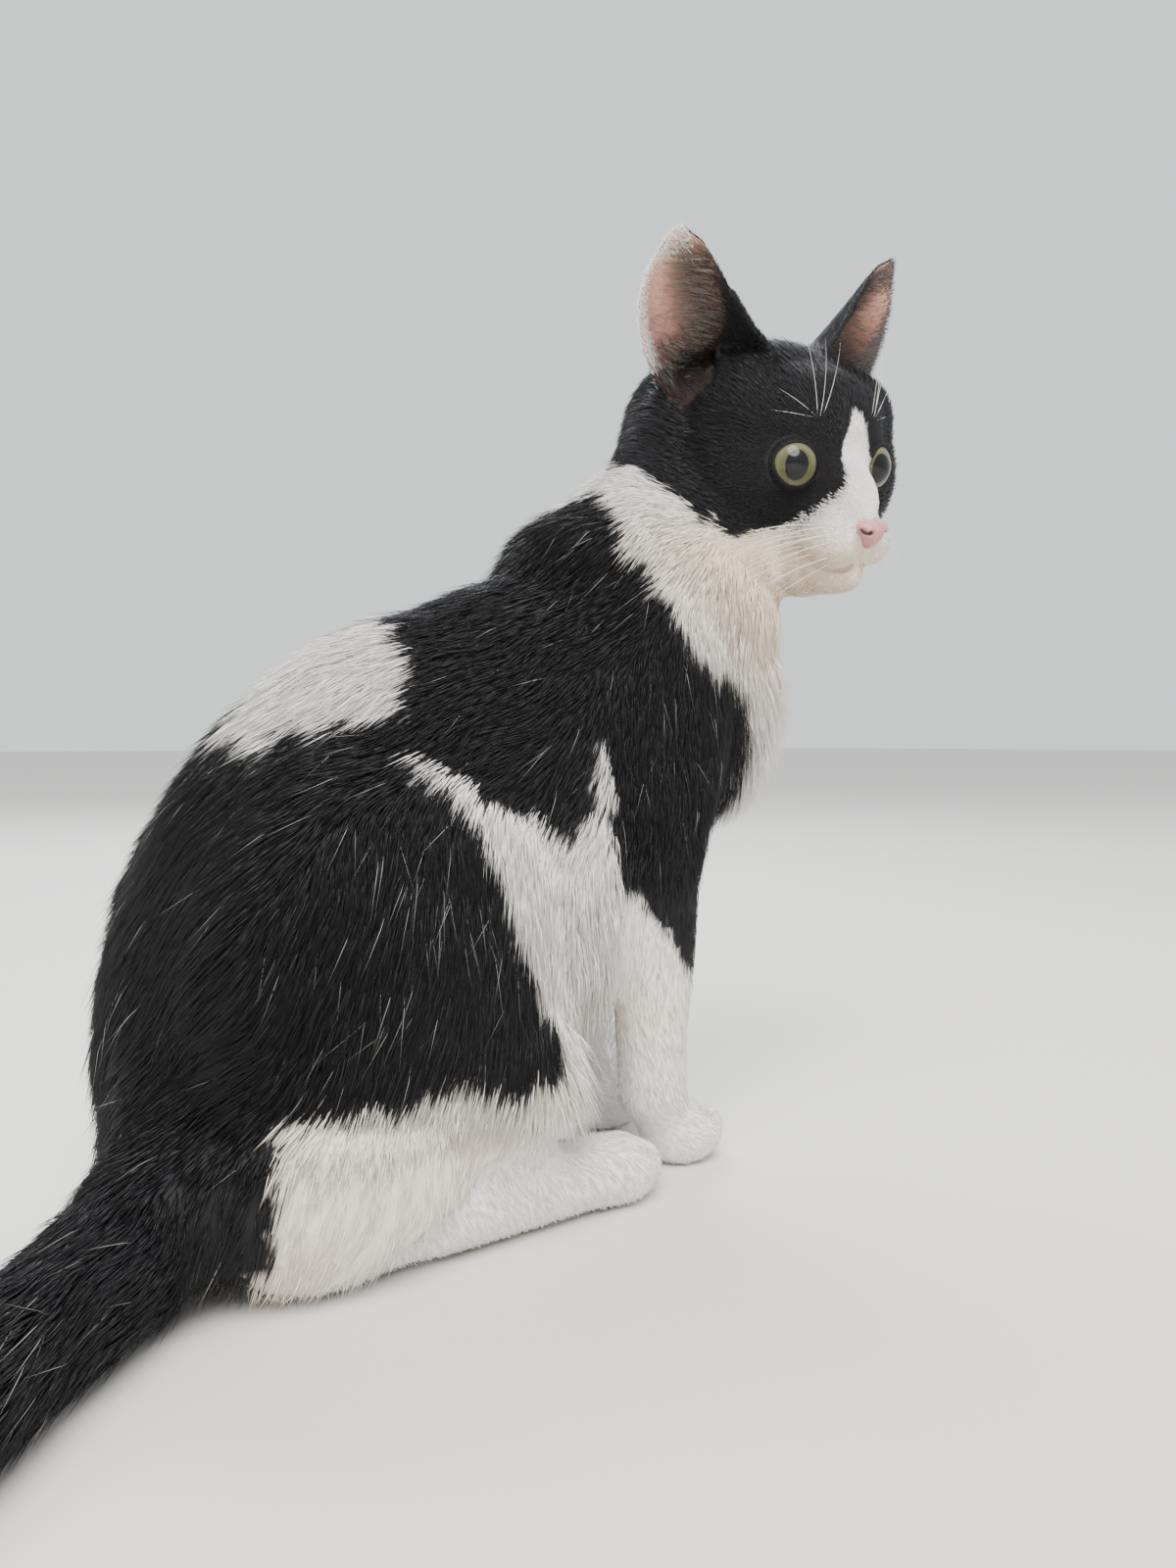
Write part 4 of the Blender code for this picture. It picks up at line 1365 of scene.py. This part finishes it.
def skin_object(skin, material):
    """The skin and the rims of its lids as one mesh, with its colours as attributes."""
    points, triangles = [skin.points], [skin.triangles]
    count = len(skin.points)
    for side in SIDES.values():
        lid, faces = lid_ring(side)
        points.append(lid)
        triangles.append(outward(lid - lid.mean(0), faces) + count)
        count += len(lid)
    mesh = triangle_mesh("skin", np.concatenate(points), np.concatenate(triangles))
    rims = np.ones(count - len(skin.points))
    # dark holds the lids' and the ears' dark lining, and painted shade inside the ears.
    peach, dark = ear_colours(skin)
    lip = np.exp(-(mouth_distance(skin.points) / LIP) ** 2)
    values = {
        "white": (skin.white, 0), "pink": (skin.inner_ear, 0), "peach": (peach, 0),
        "dark": (np.maximum(dark, skin_dark(skin)), 1), "lip": (lip, 0),
        "cream": (cream_and_painted_light_share(skin.points), 0),
        "tone": (SKIN_TONE, SKIN_TONE), "along": (SKIN_ALONG, SKIN_ALONG),
    }
    for name, (on_skin, on_rims) in values.items():
        on_skin = np.ones(len(skin.points)) * on_skin
        set_values(mesh, name, np.concatenate([on_skin, rims * on_rims]))
    mesh.materials.append(material)
    return linked("skin", mesh)


# Inside the ears: where peach fades in up the ear and out across it; where the low parts darken with
# painted shade and the inner parts with their dark lining, up and across, and by how much; and how
# the painted shade grows downwards.
EAR_SEEN = (0.02, 0.35)
PEACH_UP, PEACH_ACROSS = (0.30, 0.85), (1.1, 0.5)
LOW_UP, LOW_ACROSS, LOW_WHOLE, LOW_DARK = (0.56, 0.20), (1.0, 0.70), (0.38, 0.28), 0.97
INNER_ACROSS, INNER_UP, INNER_DARK = (0.75, -0.50), (1.05, 0.75), 0.94
SHADE_UP = (1.0, 0.3)
LASH_DARK, LASH_NEAR = (0.16, 0.08), 14


def ear_colours(skin):
    """How peach-coloured and how dark the skin is inside the ears: dark lining on the inner side,
    painted shade low in the hollow and over the far ear.
    """
    peach, dark = np.zeros(len(skin.points)), np.zeros(len(skin.points))
    for side in EAR_RIMS:
        share, place = skin.hollow(side)
        cup, up = across_cup(place, side), place[:, 1]
        here = smoothstep(*EAR_SEEN, share)
        peach += here * smoothstep(*PEACH_UP, up) * smoothstep(*PEACH_ACROSS, cup)
        # Painted shade low in the hollow.
        within = np.maximum(smoothstep(*LOW_ACROSS, cup), smoothstep(*LOW_WHOLE, up))
        low = smoothstep(*LOW_UP, up) * within * LOW_DARK
        inner = smoothstep(*INNER_ACROSS, cup) * smoothstep(*INNER_UP, up) * INNER_DARK
        # Painted shade growing downwards, most on the far ear.
        shade = smoothstep(*SHADE_UP, up) * EAR_SHADE[side]
        dark += here * np.maximum(np.maximum(low, inner), shade)
    return peach, dark


def skin_dark(skin):
    """Where the skin itself is dark: around the eyes."""
    dark = np.zeros(len(skin.points))
    for side in SIDES.values():
        far, off, around = eye_angles(skin.points, side)
        near = far < LASH_NEAR
        dark = np.maximum(dark, smoothstep(*LASH_DARK, off - opening(around)) * near)
    return dark


def eyeball(side, material):
    """A ball with a raised cornea; its UV map looks straight along the eye's axis."""
    off = np.linspace(0, math.pi, EYE_RINGS + 1)[1:-1]
    around = np.linspace(0, 2 * math.pi, EYE_SPOKES, endpoint=False)
    far = EYE_RADIUS + CORNEA_RISE * smoothstep(CORNEA_EDGE, 0.0, off)
    grid_off, grid_around = np.meshgrid(off, around, indexing="ij")
    grid_far = np.repeat(far[:, None], EYE_SPOKES, 1)
    axes = eye_axes(side, GAZE[side], 0)
    points = around_eye(axes, grid_off, grid_around, grid_far).reshape(-1, 3)
    zero = np.zeros(1)
    front = around_eye(axes, zero, zero, np.array([EYE_RADIUS + CORNEA_RISE]))
    back = around_eye(axes, zero + math.pi, zero, np.array([EYE_RADIUS]))
    rows = len(off)
    faces = band_faces(rows, EYE_SPOKES, close_rows=False)
    first, last = len(points), len(points) + 1
    for j in range(EYE_SPOKES):
        k = (j + 1) % EYE_SPOKES
        faces += [(first, k, j), (last, (rows - 1) * EYE_SPOKES + j, (rows - 1) * EYE_SPOKES + k)]
    points = np.concatenate([points, front, back])
    faces = outward(points - axes[0], np.array(faces))
    radial = np.concatenate([grid_off.ravel(), [0, math.pi]]) / math.pi
    turn = np.concatenate([grid_around.ravel(), [0, 0]])
    uv = 0.5 + np.stack([radial * np.cos(turn), radial * np.sin(turn)], 1) / 2
    name = "eyeball_" + ("left" if side > 0 else "right")
    mesh = triangle_mesh(name, points, faces)
    set_uv(mesh, "eye", uv)
    mesh.materials.append(material)
    return linked(name, mesh)


def eye_material():
    """Pupil, iris with fine spokes and a dark rim, under a wet clear coat."""
    material, surface, place = new_material(
        "eye", Roughness=0.4, Coat_Weight=0.5, Coat_Roughness=0.08, Specular_IOR_Level=0.08)
    plan = place.node("ShaderNodeUVMap", {}, {"uv_map": "eye"})
    centred = place.node("ShaderNodeVectorMath", {0: plan, 1: (0.5, 0.5, 0.0)},
                         {"operation": "SUBTRACT"})
    radial = place.node("ShaderNodeVectorMath", {0: centred}, {"operation": "LENGTH"}, 1)
    radial = radial * (2 * math.pi / IRIS_EDGE)
    flat = place.node("ShaderNodeSeparateXYZ", {0: centred}, output=0)
    tall = place.node("ShaderNodeSeparateXYZ", {0: centred}, output=1)
    turn = tall.math("ARCTAN2", flat)
    ways = {0: turn * SPOKES_ROUND, 1: radial * SPOKES_OUT}
    spokes = noise(place.node("ShaderNodeCombineXYZ", ways), *SPOKES_NOISE)
    iris = radial.node("ShaderNodeValToRGB", {0: radial}, {"stops": IRIS})
    iris = (spokes.between(*SPOKES_DARK) * 0.5).blend(iris, SPOKE_DARK)
    slim = place.node("ShaderNodeCombineXYZ", {0: flat * PUPIL_SLIM, 1: tall})
    slim = place.node("ShaderNodeVectorMath", {0: slim}, {"operation": "LENGTH"}, 1)
    slim = slim * (2 * math.pi / IRIS_EDGE)
    pupil = slim.between(PUPIL_SHARE - PUPIL_SOFT, PUPIL_SHARE + PUPIL_SOFT)
    colour = radial.between(*IRIS_END).blend(pupil.blend(PUPIL_BLACK, iris), EYE_RIM)
    feed(surface, Base_Color=colour)
    return material


NOSE_RADII, NOSE_DROP, NOSE_BACK = (4.3, 6.6, 5.6), 1.3, 0.9
NOSE_ROWS, NOSE_COLUMNS = 72, 96
# The leather narrows downwards by this share and leans forwards above, between these heights of a
# ball of radius 1; its top is pressed down, less at its sides.
NARROW, NARROW_FROM = 0.80, (0.55, -1.0)
LEAN, LEAN_FROM = 0.25, (-1.0, 0.6)
TOP_PRESS, TOP_WINGS, NOSE_FLAT = 0.72, 0.10, 0.95
# Seen from ahead, across and up from the middle of the leather (mm): a nostril's hole and slit,
# the wing over it and the groove below; each with its reach, and its depth.
NOSTRIL, NOSTRIL_REACH, NOSTRIL_DEPTH = (3.0, 0.3), 0.8, 1.9
NOSTRIL_SLIT = ((0, 2.8, 0.0), (0, 4.0, -0.1), (0, 5.2, 0.6), (0, 6.8, 1.9))
SLIT_REACH, SLIT_DEPTH = 0.55, 1.3
WING, WING_REACH, WING_RISE = (3.6, 1.3), 1.3, 0.15
NOSE_GROOVE, NOSE_GROOVE_FROM, NOSE_GROOVE_DEPTH = 0.4, (0.5, -1.5), 0.5
NOSE_FRONT = (-0.1, 0.5)
# How dark the painted shade of a slit is against that of its hole, and how dark both are.
SLIT_DARK, PIT_DARK = 0.85, 1.2


def hollow_at(points, middle_place, reach):
    """1 at a place seen from ahead, falling off to 0 over a reach."""
    return np.exp(-(np.hypot(*(points[:, 1:] - middle_place).T) / reach) ** 2)


def nose_object(material):
    """The nose leather: broad above, narrow below, with comma nostrils and a groove."""
    bm = bmesh.new()
    bmesh.ops.create_uvsphere(bm, u_segments=NOSE_COLUMNS, v_segments=NOSE_ROWS, radius=1)
    mesh = bpy.data.meshes.new("nose_leather")
    bmesh.ops.triangulate(bm, faces=bm.faces)
    bm.to_mesh(mesh)
    bm.free()
    x, y, z = points_of(mesh).T
    narrow = 1 - NARROW * smoothstep(*NARROW_FROM, z)
    lean = LEAN * smoothstep(*LEAN_FROM, z)
    z = np.where(z > 0, z * (TOP_PRESS + TOP_WINGS * y * y), z)
    shape = np.stack([x * NOSE_FLAT + lean, y * narrow, z], 1) * NOSE_RADII
    front = smoothstep(*NOSE_FRONT, x)
    seen = shape * (0, 1, 1)
    seen[:, 1] = abs(seen[:, 1])
    hole = hollow_at(seen, NOSTRIL, NOSTRIL_REACH)
    slit = np.exp(-(line_distance(seen, NOSTRIL_SLIT) / SLIT_REACH) ** 2)
    groove = np.exp(-(seen[:, 1] / NOSE_GROOVE) ** 2) * smoothstep(*NOSE_GROOVE_FROM, seen[:, 2])
    depth = np.maximum(hole * NOSTRIL_DEPTH, slit * SLIT_DEPTH) + NOSE_GROOVE_DEPTH * groove
    depth -= WING_RISE * hollow_at(seen, WING, WING_REACH)
    shape[:, 0] -= front * depth
    places = shape - (NOSE_BACK, 0, NOSE_DROP)
    co = middle("nose") + places @ HEAD_AXES * MM
    mesh.vertices.foreach_set("co", co.astype(np.float32).ravel())
    mesh.update()
    mesh.shade_smooth()
    # Painted shade in the nostrils' holes and slits.
    pit = np.maximum(hole, slit * SLIT_DARK) * front * PIT_DARK
    set_values(mesh, "pit", np.clip(pit, 0, 1))
    mesh.materials.append(material)
    return linked("nose_leather", mesh)


def nose_material():
    material, surface, place = new_material("nose_leather", Specular_IOR_Level=0.5)
    pit = attribute(place, "pit")
    mottled = noise(place, MOTTLE_SCALE)
    colour = mottled.between(*MOTTLE_FADE).blend(NOSE_PINK, NOSE_DEEP)
    # The nostrils' holes and slits get painted shade.
    colour = pit.between(*PIT_FADE).blend(colour, NOSTRIL_PAINTED_SHADE)
    pebbles = place.node("ShaderNodeTexVoronoi", {"Vector": place, "Scale": PEBBLE_SCALE})
    pebbles = bump(place, pebbles, PEBBLE_HEIGHT, PEBBLE_STRENGTH)
    rough = mottled * NOSE_ROUGH[1] + NOSE_ROUGH[0]
    feed(surface, Base_Color=colour, Roughness=rough, Normal=pebbles)
    return material


WHISKER_SIDES, WHISKER_STEPS = 5, 14
TAPER, TIP_SHARE = 0.8, 0.06
# A little off the way ahead, so that no hair runs along it.
ASKEW = 0.01
# Patterns per metre of a whisker's colour and of its roughness, and that roughness, least and
# added.
TINT_SCALE, POLISH_SCALE, WHISKER_ROUGH = 60, 90, (0.3, 0.1)


def hair_tube(start, way, droop, length, radius):
    """A fine tapered hair that starts at a point, leaves along way and bends towards droop."""
    t = np.linspace(0, 1, WHISKER_STEPS)
    path = start + (way * t[:, None] + droop * (t ** 2)[:, None]) * length
    along = unit(np.gradient(path, axis=0))
    side = unit(np.cross(along, HEAD_AHEAD + ASKEW))
    up = np.cross(side, along)
    thick = radius * (1 - t[:-1]) ** TAPER + radius * TIP_SHARE
    angle = np.linspace(0, 2 * math.pi, WHISKER_SIDES, endpoint=False)
    rings = [
        path[i] + (side[i] * np.cos(angle)[:, None] + up[i] * np.sin(angle)[:, None]) * thick[i]
        for i in range(WHISKER_STEPS - 1)
    ]
    points = np.concatenate([*rings, path[-1:], path[:1]])
    faces = band_faces(len(rings), WHISKER_SIDES, close_rows=False)
    last = (len(rings) - 1) * WHISKER_SIDES
    tip, root = len(points) - 2, len(points) - 1
    for j in range(WHISKER_SIDES):
        k = (j + 1) % WHISKER_SIDES
        faces += [(last + j, last + k, tip), (k, j, root)]
    return points, outward(points - path.mean(0), np.array(faces))


# Whiskers of the left side, in the head's frame: the first root of each row on the pad, the way
# it points, how many there are and their length.
PAD_ROWS = (
    ((43, 8.5, -19.5), (-0.35, 0.95, -0.10), 4, 40),
    ((42, 9.5, -22.0), (-0.42, 0.95, -0.26), 5, 50),
    ((41, 9.5, -24.6), (-0.48, 0.9, -0.42), 5, 46),
    ((40, 9.0, -26.6), (-0.50, 0.8, -0.60), 3, 32),
)
# Brow whiskers of the left side: root, way and length.
BROWS = (
    ((28.4, 11.0, 16.4), (0.12, -0.16, 1.0), 24),
    ((28.2, 12.2, 15.2), (0.05, 0.0, 1.0), 27),
    ((27.6, 13.0, 15.8), (-0.16, 0.12, 1.0), 26),
    ((27.2, 13.6, 15.4), (-0.35, 0.55, 0.45), 15),
    ((27.0, 14.4, 14.8), (-0.40, 0.75, 0.10), 14),
)
BROW_DROOP = (-0.12, 0.08, -0.06)
# From root to root of a row, how the hairs turn back along it, how they droop, and their spread.
PAD_STEP, PAD_TURN = (-3.3, 1.9, 0.3), -0.16
PAD_DROOP, PAD_SPREAD, DROOP_SPREAD = (-0.30, -0.05, -0.50), 0.03, 0.07
PAD_LENGTHS, BROW_LENGTHS = (0.8, 1.1), (0.9, 1.1)
WHISKER_RADIUS, BROW_RADIUS = 0.115, 0.085


def whiskers(skin, material):
    tree = BVHTree.FromPolygons(skin.points.tolist(), skin.triangles.tolist())
    points, faces, count = [], [], 0
    hairs = []
    for side in SIDES.values():
        flip = np.array((1, side, 1))
        for start, way, number, length in PAD_ROWS:
            for i in range(number):
                root = (np.array(start) + np.array(PAD_STEP) * i) * flip
                lean = (np.array(way) + (PAD_TURN * i, 0, PAD_SPREAD * RNG.normal())) * flip
                droop = (np.array(PAD_DROOP) + (0, 0, DROOP_SPREAD * RNG.normal())) * flip
                size = length * RNG.uniform(*PAD_LENGTHS)
                hairs.append((root, lean, droop, size, WHISKER_RADIUS))
        for start, way, length in BROWS:
            ways = np.array((start, way, BROW_DROOP)) * flip
            hairs.append((*ways, length * RNG.uniform(*BROW_LENGTHS), BROW_RADIUS))
    for root, lean, droop, size, radius in hairs:
        start = np.array(tree.find_nearest(Vector(from_head(root)))[0])
        tube, sides = hair_tube(start, head_way(unit(lean)), head_way(droop), size * MM, radius * MM)
        points.append(tube)
        faces.append(sides + count)
        count += len(tube)
    mesh = triangle_mesh("whiskers", np.concatenate(points), np.concatenate(faces))
    mesh.materials.append(material)
    return linked("whiskers", mesh)


def whisker_material():
    material, surface, place = new_material("whisker", Specular_IOR_Level=0.5)
    pale = noise(place, TINT_SCALE).blend(WHISKER_PALE, WHISKER_SHADE)
    rough = noise(place, POLISH_SCALE) * WHISKER_ROUGH[1] + WHISKER_ROUGH[0]
    feed(surface, Base_Color=pale, Roughness=rough)
    return material


# ---------------------------------------------------------------- room, light and camera

# The camera's place in the body's frame (mm), its turn from the y axis to x, dip, and lens (mm).
CAMERA_PLACE = (-251.0, -314.5, 138.0)
CAMERA_TURN, CAMERA_DIP = math.radians(36), math.radians(2.14)
CAMERA_LENS, CAMERA_SENSOR, CAMERA_NEAREST = 27.09, 36.0, 0.01
FLOOR_SIZE = 30.0
FLOOR_COLOUR, SKY_COLOUR = (0.74, 0.72, 0.69, 1), (0.88, 0.90, 0.92, 1)
SKY_STRENGTH = 1.2
# Lamps: what they aim at and their places from the body's origin (m), size (m), power (W), colour.
LAMP_AIM = (-0.05, 0, 0.12)
LAMPS = (
    ((-0.7, -1.0, 1.6), 1.5, 75, (1.0, 0.98, 0.95)),
    ((0.3, 1.2, 1.4), 1.2, 30, (0.95, 0.97, 1.0)),
)


def make_room():
    bm = bmesh.new()
    bmesh.ops.create_grid(bm, x_segments=1, y_segments=1, size=FLOOR_SIZE / 2)
    mesh = bpy.data.meshes.new("floor")
    bm.to_mesh(mesh)
    bm.free()
    floor = linked("floor", mesh)
    material, surface, place = new_material("floor", Roughness=0.6)
    surface.inputs["Base Color"].default_value = FLOOR_COLOUR
    mesh.materials.append(material)
    world = bpy.data.worlds.new("studio")
    world.use_nodes = True
    sky = world.node_tree.nodes["Background"]
    sky.inputs["Color"].default_value = SKY_COLOUR
    sky.inputs["Strength"].default_value = SKY_STRENGTH
    bpy.context.scene.world = world
    for i, (place, size, power, colour) in enumerate(LAMPS):
        light = bpy.data.lights.new(f"lamp_{i}", "AREA")
        light.shape = "DISK"
        light.size = size
        light.energy = power
        light.color = colour
        lamp = linked(f"lamp_{i}", light)
        lamp.location = Vector(BODY_ORIGIN) + Vector(place)
        aim = Vector(BODY_ORIGIN) + Vector(LAMP_AIM) - lamp.location
        lamp.rotation_euler = aim.to_track_quat("-Z", "Y").to_euler()


def make_camera():
    camera = bpy.data.cameras.new("camera")
    camera.lens = CAMERA_LENS
    camera.sensor_width = CAMERA_SENSOR
    camera.clip_start = CAMERA_NEAREST
    eye = linked("camera", camera)
    eye.location = Vector(BODY_ORIGIN) + Vector(CAMERA_PLACE) * MM
    look = Vector((
        math.sin(CAMERA_TURN) * math.cos(CAMERA_DIP),
        math.cos(CAMERA_TURN) * math.cos(CAMERA_DIP),
        -math.sin(CAMERA_DIP),
    ))
    eye.rotation_euler = look.to_track_quat("-Z", "Y").to_euler()
    bpy.context.scene.camera = eye


def main():
    make_room()
    make_camera()
    skin = Skin()
    pieces = grow_coat(skin, coat_material())
    for piece in pieces:
        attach(piece, "root")
    whole = skin_object(skin, skin_material())
    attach(whole, "root")
    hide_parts(*FLESH)
    eyes = eye_material()
    for name, side in SIDES.items():
        ball = eyeball(side, eyes)
        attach(ball, "root")
        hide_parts("eye_" + name)
    nose = nose_object(nose_material())
    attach(nose, "root")
    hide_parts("nose")
    hairs = whiskers(skin, whisker_material())
    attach(hairs, "root")


main()
